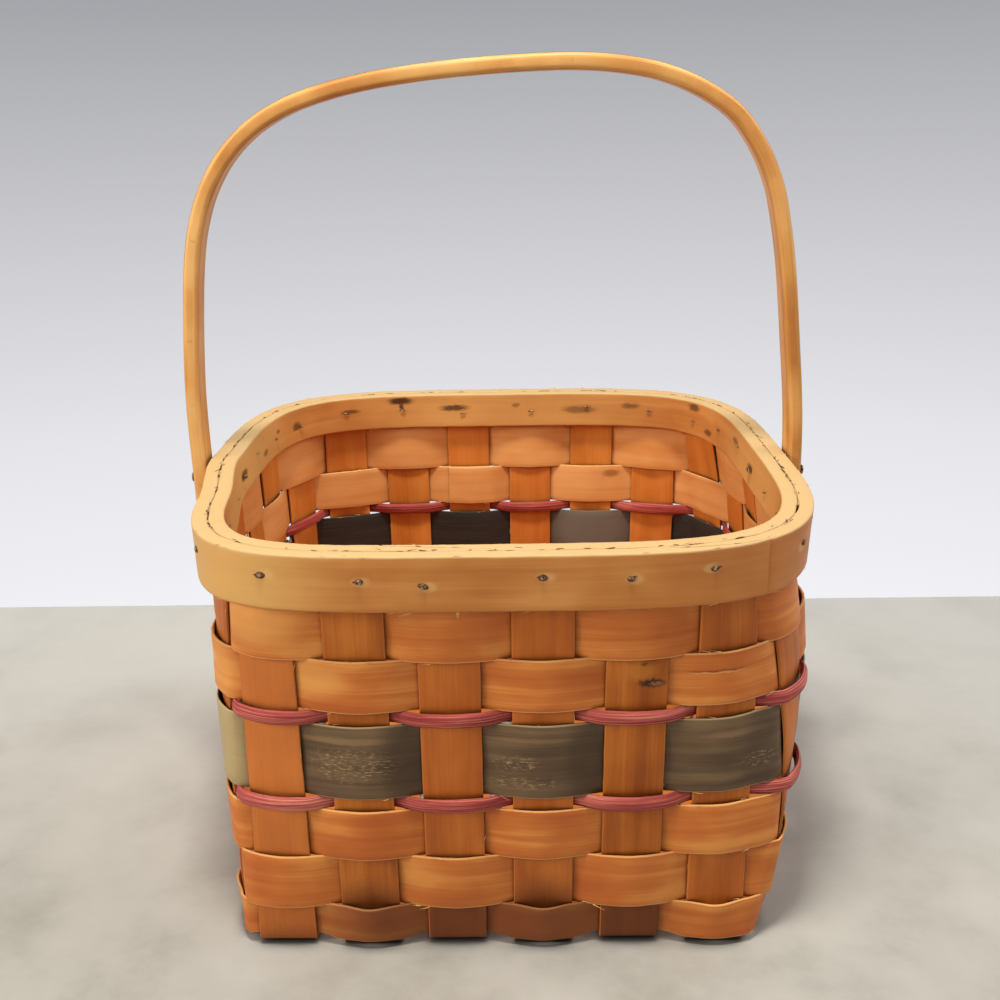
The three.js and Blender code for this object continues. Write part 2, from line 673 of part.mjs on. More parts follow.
// The bail is bent from one strip with an eight-sided section and hangs on two pivot nails.
function addHandle() {
  const points = BAIL.map(([x, z]) => new THREE.Vector3(x, 0, z));
  const curve = new THREE.CatmullRomCurve3(points, false, 'centripetal');
  const halfWidth = HANDLE_WIDTH / 2;
  const halfThickness = HANDLE_THICKNESS / 2;
  const cut = HANDLE_CHAMFER;
  const section = [
    [-halfWidth, -halfThickness + cut], [-halfWidth, halfThickness - cut],
    [-halfWidth + cut, halfThickness], [halfWidth - cut, halfThickness],
    [halfWidth, halfThickness - cut], [halfWidth, -halfThickness + cut],
    [halfWidth - cut, -halfThickness], [-halfWidth + cut, -halfThickness],
  ];
  const up = new THREE.Vector3(0, 0, 1);
  const outlines = [];
  for (let i = 0; i <= HANDLE_STEPS; i += 1) {
    const share = i / HANDLE_STEPS;
    const middle = curve.getPointAt(share);
    const tangent = i === 0 ? up.clone() : curve.getTangentAt(share);
    if (i === HANDLE_STEPS) {
      tangent.copy(up).negate();
    }
    const outward = new THREE.Vector3(-tangent.z, 0, tangent.x);
    const outline = section.map(([along, thick]) => (
      new THREE.Vector3(middle.x, along, middle.z).addScaledVector(outward, thick)
    ));
    outlines.push([outline[7], ...outline.slice(0, 7)]);
  }
  let solid = toSolid(sweepOutlines(outlines));
  for (const nail of nails.filter(({ pivot }) => pivot)) {
    const bore = pin(
      nail.origin,
      nail.direction,
      0,
      HOLE_REACH + HANDLE_THICKNESS,
      PIVOT_HOLE_RADIUS,
      PIVOT_SIDES,
    );
    solid = solid.subtract(bore);
  }
  addPiece('bail_handle', toGeometry(solid), MATERIALS.handle);
}
addHandle();

// The nails go in from outside, and their points are bent over against the inner band.
const LEG_OUTSIDE = Math.max(-BAIL[0][0], BAIL[BAIL.length - 1][0]) + HANDLE_THICKNESS / 2;
const HEAD_BITE = 0.2;
for (const nail of nails) {
  const face = faceOffset + BAND_THICKNESS + GAP;
  const inside = -(faceOffset + BAND_THICKNESS + GAP + TAIL_LIFT);
  const radius = nail.pivot ? PIVOT_RADIUS : TACK_RADIUS;
  const sides = nail.pivot ? PIVOT_SIDES : TACK_SIDES;
  const headSides = nail.pivot ? PIVOT_HEAD_SIDES : TACK_HEAD_SIDES;
  const headFrom = nail.pivot ? LEG_OUTSIDE + GAP - Math.abs(nail.origin.x) : face;
  const headThickness = nail.pivot ? PIVOT_HEAD_THICKNESS : TACK_HEAD_THICKNESS;
  const headRadius = nail.pivot ? PIVOT_HEAD_RADIUS : TACK_HEAD_RADIUS;
  const tailThickness = nail.pivot ? PIVOT_TAIL_THICKNESS : TACK_TAIL_THICKNESS;
  const tailWidth = nail.pivot ? PIVOT_TAIL_WIDTH : TACK_TAIL_WIDTH;
  const tailFrom = inside - tailThickness;
  let solid = pin(nail.origin, nail.direction, tailFrom, headFrom + HEAD_BITE, radius, sides);
  const headTo = headFrom + headThickness;
  solid = solid.add(pin(nail.origin, nail.direction, headFrom, headTo, headRadius, headSides));
  const tail = new THREE.BoxGeometry(tailThickness, TACK_TAIL + radius, tailWidth);
  tail.translate(inside - tailThickness / 2, (TACK_TAIL + radius) / 2, 0);
  tail.rotateZ(Math.atan2(nail.direction.y, nail.direction.x));
  tail.translate(nail.origin.x, nail.origin.y, nail.origin.z);
  solid = solid.add(toSolid(tail));
  const name = nail.pivot ? `pivot_nail_${nail.end.wall}` : `tack_${nail.end.wall}_${nail.end.number}`;
  addPiece(name, toGeometry(solid), MATERIALS.nail);
}

export default basket;
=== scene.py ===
"""Looks of the splint basket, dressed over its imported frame. Lengths are in metres."""

import math

import bpy
import numpy as np
from mathutils import Matrix, Vector


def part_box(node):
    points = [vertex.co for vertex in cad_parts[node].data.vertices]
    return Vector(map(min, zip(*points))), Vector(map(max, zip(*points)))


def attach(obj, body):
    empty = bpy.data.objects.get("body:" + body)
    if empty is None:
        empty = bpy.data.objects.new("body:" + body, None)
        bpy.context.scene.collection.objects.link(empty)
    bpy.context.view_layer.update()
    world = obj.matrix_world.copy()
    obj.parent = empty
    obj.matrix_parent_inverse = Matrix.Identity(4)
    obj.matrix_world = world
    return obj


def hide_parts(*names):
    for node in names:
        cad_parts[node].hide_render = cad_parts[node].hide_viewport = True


MM = 0.001

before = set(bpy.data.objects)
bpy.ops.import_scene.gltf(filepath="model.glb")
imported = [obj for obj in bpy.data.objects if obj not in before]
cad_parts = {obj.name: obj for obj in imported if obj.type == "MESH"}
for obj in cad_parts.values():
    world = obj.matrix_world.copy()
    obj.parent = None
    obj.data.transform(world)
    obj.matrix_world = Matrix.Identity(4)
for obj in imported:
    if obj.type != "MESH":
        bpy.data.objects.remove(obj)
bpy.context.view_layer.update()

# Camera, found from the photograph's perspective.
CAMERA_PLACE = Vector((0.0065, -0.5545, 0.3474))
CAMERA_YAW = 0.0093
CAMERA_PITCH = -0.3225
CAMERA_ROLL = 0.0149
CAMERA_LENS = 41.4
CAMERA_SENSOR = 36.0

# Sizes read from the frame.
OUTER_LOW, OUTER_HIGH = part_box("outer_rim_band")
INNER_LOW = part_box("inner_rim_band")[0]
RIM_HALF_WIDTH = (OUTER_HIGH.x - OUTER_LOW.x) / 2
RIM_HALF_DEPTH = (OUTER_HIGH.y - OUTER_LOW.y) / 2
HEIGHT = OUTER_HIGH.z

# Sizes of the walls and of the splints that the frame's boxes don't tell.
CORNER_SQUARENESS = ((4.6, 4.0), (4.0, 4.0))    # front left and right, back left and right
LEFT_SQUEEZE = 8.5 * MM
SQUEEZE_REACH = 0.5
LEFT_BULGE = 3 * MM
RIGHT_BULGE = 13 * MM
SIDE_FLARE = 30.3 * MM
FRONT_FLARE = 9.5 * MM
BASE_CORNER_RADIUS = 5.1 * MM
WALL_BOW = 0.4
BASE_HALF_WIDTH = RIM_HALF_WIDTH - SIDE_FLARE
BASE_HALF_DEPTH = RIM_HALF_DEPTH - FRONT_FLARE
STAKE_WIDTH = 25.4 * MM
STAKE_THICKNESS = 1.4 * MM
WEAVER_THICKNESS = 1.2 * MM
REED_THICKNESS = 3.0 * MM
BAND_THICKNESS = 5.9 * MM
LENGTHWISE_COUNT = sum(name.startswith("lengthwise_stake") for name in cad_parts)
CROSSWISE_COUNT = sum(name.startswith("crosswise_stake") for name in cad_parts)
FLOOR_MARGIN_SIDE = 18.75 * MM
FLOOR_MARGIN_FRONT = 20.5 * MM
RIM_MARGIN_SIDE = 47.3 * MM
RIM_MARGIN_FRONT = 33.9 * MM
GAP = 0.3 * MM
HALF_STAKE = STAKE_WIDTH / 2
STAKE_TOP = 0.5 * MM                # depth of the stakes' ends below the rim's top edge
FLOOR_BEND = 2.4 * MM               # radius of a stake's fold from the wall into the floor
STEP = 2.2 * MM                     # distance between the stations of a splint
RIM_STEPS = 4800
CORNER_STEPS = 12                   # in a corner of the floor's outline
FOLD_STEPS = 6                      # in a stake's fold


def spacing(half, margin, count):
    """Spacing of stakes whose outermost ones keep their margin to the edge."""
    return (half - margin) / ((count - 1) / 2)


FLOOR_PITCH_WIDTH = spacing(BASE_HALF_WIDTH, FLOOR_MARGIN_SIDE, LENGTHWISE_COUNT)
FLOOR_PITCH_DEPTH = spacing(BASE_HALF_DEPTH, FLOOR_MARGIN_FRONT, CROSSWISE_COUNT)
RIM_PITCH_WIDTH = spacing(RIM_HALF_WIDTH, RIM_MARGIN_SIDE, LENGTHWISE_COUNT)
RIM_PITCH_DEPTH = spacing(RIM_HALF_DEPTH, RIM_MARGIN_FRONT, CROSSWISE_COUNT)


# Walls

def unit(vectors):
    return vectors / np.linalg.norm(vectors, axis=1, keepdims=True)


def distances_along(points):
    """How far each point lies from the first, walked from point to point."""
    steps = np.linalg.norm(np.diff(points, axis=0), axis=1)
    return np.concatenate([[0], np.cumsum(steps)])


class Outline:
    """A closed outline in plan, walked by distance from the middle of the front."""

    def __init__(self, points, normals):
        self.points = np.array(points)
        self.normals = np.array(normals)
        self.distances = distances_along(self.points)
        self.length = self.distances[-1]

    def at(self, distance):
        wrapped = np.mod(distance, self.length)
        point = [np.interp(wrapped, self.distances, axis) for axis in self.points.T]
        normal = [np.interp(wrapped, self.distances, axis) for axis in self.normals.T]
        return np.stack(point, 1), np.stack(normal, 1)


def rim_outline():
    """The rim's middle line is a superellipse with its own exponent at each corner, which draws in
    on the left towards the front."""
    inset = STAKE_THICKNESS / 2 + GAP + BAND_THICKNESS
    half = np.array([RIM_HALF_WIDTH - inset, RIM_HALF_DEPTH - inset])
    angle = np.linspace(-math.pi / 2, math.pi * 3 / 2, RIM_STEPS + 1)
    direction = np.stack([np.cos(angle), np.sin(angle)], 1)
    corner = (direction >= 0).astype(int)
    power = np.array(CORNER_SQUARENESS)[corner[:, 1], corner[:, 0]][:, None]
    radius = (np.abs(direction / half) ** power).sum(1, keepdims=True) ** (-1 / power)
    points = direction * radius
    forward = np.clip(-points[:, 1] / (half[1] * SQUEEZE_REACH), 0, 1)
    aside = np.clip(-points[:, 0] / half[0], 0, 1)
    points[:, 0] += LEFT_SQUEEZE * forward ** 2 * (3 - 2 * forward) * aside ** 2
    way = np.roll(points[:-1], -1, axis=0) - np.roll(points[:-1], 1, axis=0)
    way = np.concatenate([way, way[:1]])
    normals = np.column_stack([way[:, 1], -way[:, 0]])
    return Outline(points, unit(normals))


def base_outline():
    """The floor's outline is a rectangle with small rounded corners."""
    radius = BASE_CORNER_RADIUS
    centre = np.array([BASE_HALF_WIDTH - radius, BASE_HALF_DEPTH - radius])
    points = [(0, -BASE_HALF_DEPTH)]
    normals = [(0, -1)]
    for turn, (side, front) in enumerate([(1, -1), (1, 1), (-1, 1), (-1, -1)]):
        for share in np.linspace(0, 1, CORNER_STEPS + 1):
            angle = (turn - 1 + share) * math.pi / 2
            normal = np.array([math.cos(angle), math.sin(angle)])
            points.append(centre * (side, front) + radius * normal)
            normals.append(normal)
    points.append((0, -BASE_HALF_DEPTH))
    normals.append((0, -1))
    return Outline(points, normals)


RIM = rim_outline()
BASE = base_outline()


class End:
    """The end of a stake that stands in a wall, with its place on the rim and on the floor."""

    def __init__(self, turn, count, number, rim_pitch, floor_pitch):
        place = number - (count - 1) / 2
        self.wall = ("front", "right", "back", "left")[turn]
        self.number = number + 1 if turn < 2 else count - number
        middle = RIM.distances[turn * (len(RIM.distances) // 4)]
        self.rim = middle + place * rim_pitch
        self.floor = turn * BASE.length / 4 + place * floor_pitch


def all_ends():
    """The stakes' ends in the order in which a weaver meets them, starting front left."""
    found = []
    for turn in range(4):
        if turn % 2 == 0:
            sizes = LENGTHWISE_COUNT, RIM_PITCH_WIDTH, FLOOR_PITCH_WIDTH
        else:
            sizes = CROSSWISE_COUNT, RIM_PITCH_DEPTH, FLOOR_PITCH_DEPTH
        count, rim_pitch, floor_pitch = sizes
        found += [End(turn, count, number, rim_pitch, floor_pitch) for number in range(count)]
    return found


ENDS = all_ends()
END_COUNT = len(ENDS)


def turned(index):
    """Rim distance of a stake's middle, for an index that may run past the last stake."""
    return ENDS[index % END_COUNT].rim + (index // END_COUNT) * RIM.length


def rim_to_floor(distance):
    """Distance along the floor's outline that lies below a distance along the rim."""
    known = []
    for period in (-1, 0, 1, 2):
        for end in ENDS:
            for side in (-HALF_STAKE, HALF_STAKE):
                rim = end.rim + period * RIM.length + side
                known.append((rim, end.floor + period * BASE.length + side))
    rim, floor = np.array(known).T
    return np.interp(distance, rim, floor)


def wall(distance, height):
    """Points of the wall's middle surface and the directions that face out from them."""
    distance = np.asarray(distance, float)
    height = np.broadcast_to(np.asarray(height, float), distance.shape)
    share = np.clip(height / HEIGHT, 0, None)
    share = (share + WALL_BOW * share * (1 - share))[:, None]
    foot, foot_normal = BASE.at(rim_to_floor(distance))
    top, top_normal = RIM.at(distance)
    plan = foot + (top - foot) * share
    normal = unit(foot_normal + (top_normal - foot_normal) * share)
    belly = np.clip(height / OUTER_LOW.z, 0, 1)
    belly = 4 * belly * (1 - belly) * np.where(normal[:, 0] < 0, -LEFT_BULGE, RIGHT_BULGE)
    plan[:, 0] += belly * normal[:, 0] ** 2
    points = np.column_stack([plan, height])
    return points, np.column_stack([normal, np.zeros(len(normal))])


def hermite(knots, values, tangents, places):
    """A cubic curve through the knots, with its slope at each."""
    steps = np.diff(knots)
    cell = np.clip(np.searchsorted(knots, places) - 1, 0, len(steps) - 1)
    width = steps[cell]
    share = np.clip((places - knots[cell]) / width, 0, 1)
    back = 1 - share
    return (
        values[cell] * (1 + 2 * share) * back ** 2
        + tangents[cell] * width * share * back ** 2
        + values[cell + 1] * (3 - 2 * share) * share ** 2
        - tangents[cell + 1] * width * back * share ** 2
    )


def smooth_through(knots, values, places):
    """A cubic curve through the knots that never swings past them."""
    knots = np.asarray(knots, float)
    values = np.asarray(values, float)
    steps = np.diff(knots)
    slopes = np.diff(values) / steps
    tangents = np.zeros(len(knots))
    product = slopes[:-1] * slopes[1:]
    total = slopes[:-1] + slopes[1:]
    rising = product > 0
    tangents[1:-1][rising] = 2 * product[rising] / total[rising]
    return hermite(knots, values, tangents, places)


# Node trees

class Nodes:
    """Adds nodes to a tree. A socket given as an input is linked, anything else is its value."""

    def __init__(self, tree):
        self.tree = tree

    def add(self, kind, inputs=(), **settings):
        made = self.tree.nodes.new(kind)
        for name, value in settings.items():
            setattr(made, name, value)
        for key, value in dict(inputs).items():
            self.plug(made.inputs[key], value)
        return made

    def out(self, kind, inputs=(), **settings):
        """The first output of a new node."""
        return self.add(kind, inputs, **settings).outputs[0]

    def plug(self, socket, value):
        if isinstance(value, bpy.types.NodeSocket):
            self.tree.links.new(value, socket)
        else:
            socket.default_value = value

    def math(self, operation, *values):
        return self.out("ShaderNodeMath", enumerate(values), operation=operation)

    def plus(self, first, second):
        return self.math("ADD", first, second)

    def minus(self, first, second):
        return self.math("SUBTRACT", first, second)

    def times(self, first, second):
        return self.math("MULTIPLY", first, second)

    def vector(self, operation, *values):
        made = self.add("ShaderNodeVectorMath", enumerate(values), operation=operation)
        return made.outputs["Value" if operation == "LENGTH" else "Vector"]

    def scaled(self, vector, factor):
        made = self.add("ShaderNodeVectorMath", {0: vector, "Scale": factor}, operation="SCALE")
        return made.outputs["Vector"]

    def joined(self, x, y, z=0.0):
        return self.out("ShaderNodeCombineXYZ", {0: x, 1: y, 2: z})

    def parts(self, vector):
        return self.add("ShaderNodeSeparateXYZ", {0: vector}).outputs

    def between(self, value, low, high, to_low=0.0, to_high=1.0, kind="SMOOTHSTEP"):
        inputs = {"Value": value, "From Min": low, "From Max": high, "To Min": to_low, "To Max": to_high}
        return self.out("ShaderNodeMapRange", inputs, interpolation_type=kind)

    def noise(self, vector, scale=1.0, detail=2.0, roughness=0.5, distortion=0.0):
        inputs = {"Vector": vector, "Scale": scale, "Detail": detail}
        inputs.update({"Roughness": roughness, "Distortion": distortion})
        return self.out("ShaderNodeTexNoise", inputs)

    def ramp(self, value, stops):
        made = self.add("ShaderNodeValToRGB", {0: value})
        elements = made.color_ramp.elements
        while len(elements) < len(stops):
            elements.new(1.0)
        for element, (place, shade) in zip(elements, stops):
            element.position = place
            element.color = shade
        return made.outputs[0]

    def named(self, name, kind="FLOAT_VECTOR"):
        """A geometry's own attribute."""
        return self.out("GeometryNodeInputNamedAttribute", {"Name": name}, data_type=kind)


def new_tree(name, inputs):
    """A geometry tree with named inputs, and its first and last sockets."""
    tree = bpy.data.node_groups.new(name, "GeometryNodeTree")
    tree.interface.new_socket("Geometry", in_out="INPUT", socket_type="NodeSocketGeometry")
    for label, kind in inputs:
        tree.interface.new_socket(label, in_out="INPUT", socket_type="NodeSocket" + kind)
    tree.interface.new_socket("Geometry", in_out="OUTPUT", socket_type="NodeSocketGeometry")
    nodes = Nodes(tree)
    return nodes, nodes.add("NodeGroupInput").outputs


def finish_tree(nodes, geometry, material):
    """Ends a tree with plain geometry that carries its material."""
    real = nodes.out("GeometryNodeRealizeInstances", {"Geometry": geometry})
    done = nodes.out("GeometryNodeSetMaterial", {"Geometry": real, "Material": material})
    nodes.add("NodeGroupOutput", {0: done})
    return nodes.tree


def grow(carrier, tree, inputs):
    """Runs a node tree on an object and keeps the result as the object's plain mesh."""
    modifier = carrier.modifiers.new(tree.name, "NODES")
    modifier.node_group = tree
    sockets = {}
    for item in tree.interface.items_tree:
        if item.item_type == "SOCKET" and item.in_out == "INPUT":
            sockets[item.name] = item.identifier
    for name, value in inputs.items():
        modifier[sockets[name]] = value
    depsgraph = bpy.context.evaluated_depsgraph_get()
    evaluated = carrier.evaluated_get(depsgraph)
    mesh = bpy.data.meshes.new_from_object(evaluated, preserve_all_data_layers=True, depsgraph=depsgraph)
    carrier.modifiers.remove(modifier)
    old = carrier.data
    carrier.data = mesh
    bpy.data.meshes.remove(old)
    face_out(mesh)
    return carrier


def face_out(mesh):
    """Turns a closed mesh whose faces point inwards."""
    mesh.calc_loop_triangles()
    corners = np.zeros(len(mesh.vertices) * 3)
    mesh.vertices.foreach_get("co", corners)
    corners = corners.reshape(-1, 3)
    triangles = np.zeros(len(mesh.loop_triangles) * 3, int)
    mesh.loop_triangles.foreach_get("vertices", triangles)
    a, b, c = (corners[triangles[place::3]] for place in range(3))
    if np.einsum("ij,ij->i", a, np.cross(b, c)).sum() < 0:
        mesh.flip_normals()


def new_mesh(name, points, faces=(), **attributes):
    """A mesh whose attributes hold a number or a vector for each point."""
    mesh = bpy.data.meshes.new(name)
    mesh.from_pydata([tuple(point) for point in points], [], faces)
    for label, values in attributes.items():
        values = np.asarray(values, np.float32)
        kind, field = ("FLOAT_VECTOR", "vector") if values.ndim == 2 else ("FLOAT", "value")
        mesh.attributes.new(label, kind, "POINT").data.foreach_set(field, values.ravel())
    return mesh


def add_object(name, mesh):
    made = bpy.data.objects.new(name, mesh)
    bpy.context.scene.collection.objects.link(made)
    return made


helpers = []


def section_object(name, points):
    """An outline across a splint. Each point has its share of half the width and of half the
    thickness, how far the corner's rounding draws it in both ways, and its place round the outline
    as counts of half widths and thicknesses."""
    faces, insets, places = ([(*pair, 0) for pair in column] for column in zip(*points))
    made = add_object(name, new_mesh(name, faces, inset=insets, around=places))
    helpers.append(made)
    return made


def flat_section(name, face_points, corner_points):
    """A rounded rectangle, walked over its outer face, an edge, its inner face and the other edge."""
    corner = [math.pi / 2 * i / corner_points for i in range(corner_points + 1)]
    insets = [(1 - math.sin(angle), 1 - math.cos(angle)) for angle in corner]
    points = [((x, 1), (1 if abs(x) == 1 else 0, 0), (x, 0)) for x in np.linspace(-1, 1, face_points)]
    share = 0.5 / corner_points
    points += [((1, 1), inset, (1, i * share)) for i, inset in enumerate(insets)][1:]
    points += [((1, -1), inset, (1, 1 - i * share)) for i, inset in enumerate(insets)][::-1]
    inner = np.linspace(1, -1, face_points)[1:-1]
    points += [((x, -1), (0, 0), (2 - x, 1)) for x in inner]
    points += [((-1, -1), inset, (3, 1 + i * share)) for i, inset in enumerate(insets)]
    points += [((-1, 1), inset, (3, 2 - i * share)) for i, inset in enumerate(insets)][::-1]
    return section_object(name, points)


def round_section(name, sides):
    """An oval, walked over its outer half and then its inner half."""
    points = []
    for i in range(sides + 1):
        angle = math.pi * (2 * i / sides - 0.5)
        points.append(((math.sin(angle), math.cos(angle)), (0, 0), (4 * i / sides - 1, 0)))
    return section_object(name, points)


def sampled(nodes, geometry, index, *names, kind="FLOAT_VECTOR"):
    """Attributes of another geometry at an index. Without a name it is the position."""
    found = []
    for name in names:
        value = nodes.named(name, kind) if name else nodes.out("GeometryNodeInputPosition")
        inputs = {"Geometry": geometry, "Value": value, "Index": index}
        made = nodes.add("GeometryNodeSampleIndex", inputs, data_type=kind, domain="POINT")
        found.append(made.outputs[0])
    return found


def stored(nodes, geometry, name, value, kind="FLOAT", domain="POINT"):
    inputs = {"Geometry": geometry, "Name": name, "Value": value}
    return nodes.out("GeometryNodeStoreNamedAttribute", inputs, data_type=kind, domain=domain)


RIB_LENGTH = 40 * MM                # of the fibres that a reed shows
RIBS = 2.6                          # for each half width round it
EDGES_APART = 7.3                   # in the noise, so that each edge wanders by itself
RIPPLE_ACROSS = 0.55
END_ACROSS = 4.0
END_THROUGH = 0.3
EDGE_SHARPNESS = 6.0                # how narrowly the ragged edges keep to the sides
WELD = 2e-6                         # distance below which points are one
CREASE = 0.9                        # angle from which an edge is shaded sharp


def splint_tree():
    """Lofts a section along a guide, whose points tell the splint's middle, half its width, the way
    that it faces and its thickness at each station."""
    nodes, given = new_tree("splint_loft", [
        ("Section", "Object"), ("Edge Radius", "Float"), ("Ripple", "Float"), ("Ripple Length", "Float"),
        ("Ragged Edge", "Float"), ("Ragged Length", "Float"), ("Ragged End", "Float"), ("Fibre", "Float"),
        ("Seed", "Float"), ("Finish", "Material"),
    ])
    guide = given["Geometry"]
    info = nodes.add("GeometryNodeObjectInfo", {"Object": given["Section"]}, transform_space="ORIGINAL")
    section = info.outputs["Geometry"]
    stations, corners = (
        nodes.add("GeometryNodeAttributeDomainSize", {"Geometry": source}).outputs["Point Count"]
        for source in (guide, section)
    )
    inputs = {"Vertices X": stations, "Vertices Y": corners}
    grid = nodes.add("GeometryNodeMeshGrid", inputs).outputs["Mesh"]
    index = nodes.out("GeometryNodeInputIndex")
    station = nodes.math("FLOOR", nodes.math("DIVIDE", nodes.plus(index, 0.5), corners))
    corner = nodes.minus(index, nodes.times(station, corners))
    corner = nodes.math("ROUND", corner)

    middle, across, outward, forward = sampled(
        nodes, guide, station, None, "across", "outward", "forward",
    )
    along, thickness, cup, tip = sampled(
        nodes, guide, station, "along", "thickness", "cup", "tip", kind="FLOAT",
    )
    face, inset, around = map(nodes.parts, sampled(nodes, section, corner, None, "inset", "around"))

    half = nodes.vector("LENGTH", across)
    half_thickness = nodes.times(thickness, 0.5)
    radius = nodes.math("MINIMUM", given["Edge Radius"], half_thickness)
    beside, proud = (
        nodes.minus(
            nodes.times(face[axis], reach),
            nodes.times(nodes.math("SIGN", face[axis]), nodes.times(inset[axis], radius)),
        )
        for axis, reach in enumerate((half, half_thickness))
    )

    seed = given["Seed"]
    fibre_along = nodes.times(along, 1 / RIB_LENGTH)
    fibre_place = nodes.joined(fibre_along, nodes.times(around[0], RIBS), seed)
    fibre = nodes.minus(nodes.noise(fibre_place, detail=1.0), 0.5)
    swell = nodes.plus(1.0, nodes.times(fibre, given["Fibre"]))
    beside = nodes.times(beside, swell)
    proud = nodes.times(proud, swell)

    # The edges wander.
    side = nodes.math("SIGN", face[0])
    rag_along = nodes.math("DIVIDE", along, given["Ragged Length"])
    rag_place = nodes.joined(rag_along, nodes.times(side, EDGES_APART), seed)
    rag = nodes.minus(nodes.noise(rag_place, detail=3.0, roughness=0.62), 0.5)
    near_edge = nodes.math("POWER", nodes.math("ABSOLUTE", face[0]), EDGE_SHARPNESS)
    rag = nodes.times(nodes.times(rag, side), near_edge)
    beside = nodes.plus(beside, nodes.times(rag, given["Ragged Edge"]))

    # The whole splint lies a little uneven, and its ends are cut a little uneven.
    ripple_along = nodes.math("DIVIDE", along, given["Ripple Length"])
    ripple_across = nodes.times(face[0], RIPPLE_ACROSS)
    ripple = nodes.noise(nodes.joined(ripple_along, ripple_across, seed), detail=1.5)
    ripple = nodes.times(nodes.minus(ripple, 0.5), given["Ripple"])
    bulge = nodes.times(cup, nodes.minus(1.0, nodes.math("POWER", face[0], 2.0)))
    rise = nodes.plus(nodes.plus(proud, ripple), bulge)
    end_across = nodes.times(face[0], END_ACROSS)
    end_place = nodes.joined(end_across, nodes.times(face[1], END_THROUGH), seed)
    end = nodes.minus(nodes.noise(end_place, detail=3.0, roughness=0.6), 0.5)
    end = nodes.times(nodes.times(end, tip), given["Ragged End"])

    place = nodes.vector("ADD", middle, nodes.scaled(nodes.vector("NORMALIZE", across), beside))
    place = nodes.vector("ADD", place, nodes.scaled(outward, rise))
    place = nodes.vector("ADD", place, nodes.scaled(forward, end))
    loft = nodes.out("GeometryNodeSetPosition", {"Geometry": grid, "Position": place})

    ring = nodes.plus(nodes.times(around[0], half), nodes.times(around[1], thickness))
    settings = {"data_type": "FLOAT_VECTOR", "domain": "POINT"}
    unrolled = nodes.add("GeometryNodeFieldOnDomain", {"Value": nodes.joined(along, ring)}, **settings)
    loft = stored(nodes, loft, "splint_uv", unrolled.outputs[0], "FLOAT2", "CORNER")
    loft = stored(nodes, loft, "face", face[1])
    depth = nodes.minus(half, nodes.math("ABSOLUTE", nodes.times(face[0], half)))
    loft = stored(nodes, loft, "from_edge", depth)
    loft = stored(nodes, loft, "from_end", nodes.math("ABSOLUTE", tip))
    loft = nodes.out("GeometryNodeMergeByDistance", {"Geometry": loft, "Distance": WELD})
    loft = nodes.out("GeometryNodeSetShadeSmooth", {"Geometry": loft, "Shade Smooth": True})
    angle = nodes.add("GeometryNodeInputMeshEdgeAngle").outputs["Unsigned Angle"]
    creased = nodes.math("GREATER_THAN", angle, CREASE)
    inputs = {"Geometry": loft, "Selection": creased, "Shade Smooth": False}
    loft = nodes.out("GeometryNodeSetShadeSmooth", inputs, domain="EDGE")
    return finish_tree(nodes, loft, given["Finish"])


SPLINT_TREE = splint_tree()
SPLINT_SECTION = flat_section("splint_section", face_points=9, corner_points=2)
BAND_SECTION = flat_section("band_section", face_points=13, corner_points=3)
HANDLE_SECTION = flat_section("handle_section", face_points=9, corner_points=5)
REED_SECTION = round_section("reed_section", sides=20)


TIP_REACH = 2.5 * MM                # how far from its end a splint's cut is uneven


class Guide:
    """What a splint follows: its two edges, the way it faces and its thickness at each station."""

    def __init__(self, low, high, outward, thickness, cup=0.0):
        count = len(low)
        self.middle = (low + high) / 2
        self.across = (high - low) / 2
        self.outward = outward
        self.thickness = np.broadcast_to(np.asarray(thickness, float), count).copy()
        self.cup = np.broadcast_to(np.asarray(cup, float), count).copy()
        self.along = distances_along(self.middle)
        self.forward = unit(np.gradient(self.middle, axis=0))
        to_start = np.clip(1 - self.along / TIP_REACH, 0, 1)
        to_end = np.clip(1 - (self.along[-1] - self.along) / TIP_REACH, 0, 1)
        self.tip = to_end - to_start

    def mesh(self, name, offset):
        """The guide as points with attributes. A last flat ring closes each end."""
        rows = np.concatenate([[0], np.arange(len(self.middle)), [len(self.middle) - 1]])
        thickness = self.thickness[rows]
        thickness[0] = 0
        thickness[-1] = 0
        kept = {key: getattr(self, key)[rows] for key in ("across", "outward", "forward", "cup", "tip")}
        along = self.along[rows] + offset
        return new_mesh(name, self.middle[rows], along=along, thickness=thickness, **kept)


PIECE_OFFSET = 2.0                  # each piece reads its grain this much further along
SEED_STEP = 3.1                     # and its unevenness at this many times that place
piece_numbers = {}


def piece_offset(name):
    """Where a piece's own grain begins, so that marks can be placed on one piece alone."""
    return piece_numbers.setdefault(name, len(piece_numbers)) * PIECE_OFFSET


guides = {}                         # by node, for what grows on the splints later


def add_splint(name, guide, section, finish, slot, nodes, body="basket", **sizes):
    """A finished piece that stands for a node of the frame."""
    guides[nodes[0]] = guide
    inputs = {
        "Section": section, "Edge Radius": 0.35 * MM, "Ripple": 0.25 * MM, "Ripple Length": 45 * MM,
        "Ragged Edge": 0.5 * MM, "Ragged Length": 11 * MM, "Ragged End": 0.8 * MM, "Fibre": 0.0,
        "Seed": piece_offset(name) * SEED_STEP, "Finish": finish,
    }
    inputs.update({key.replace("_", " ").title(): value for key, value in sizes.items()})
    piece = add_object(name, guide.mesh(name + "_guide", piece_offset(name)))
    grow(piece, SPLINT_TREE, inputs)
    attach(piece, body)
    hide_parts(*nodes)


# Materials

def colour(red, green, blue):
    """A colour as it looks on a screen, from 0 to 255, in the renderer's own scale."""
    linear = [
        ((c / 255 + 0.055) / 1.055) ** 2.4 if c > 10 else c / 255 / 12.92
        for c in (red, green, blue)
    ]
    return (*linear, 1.0)


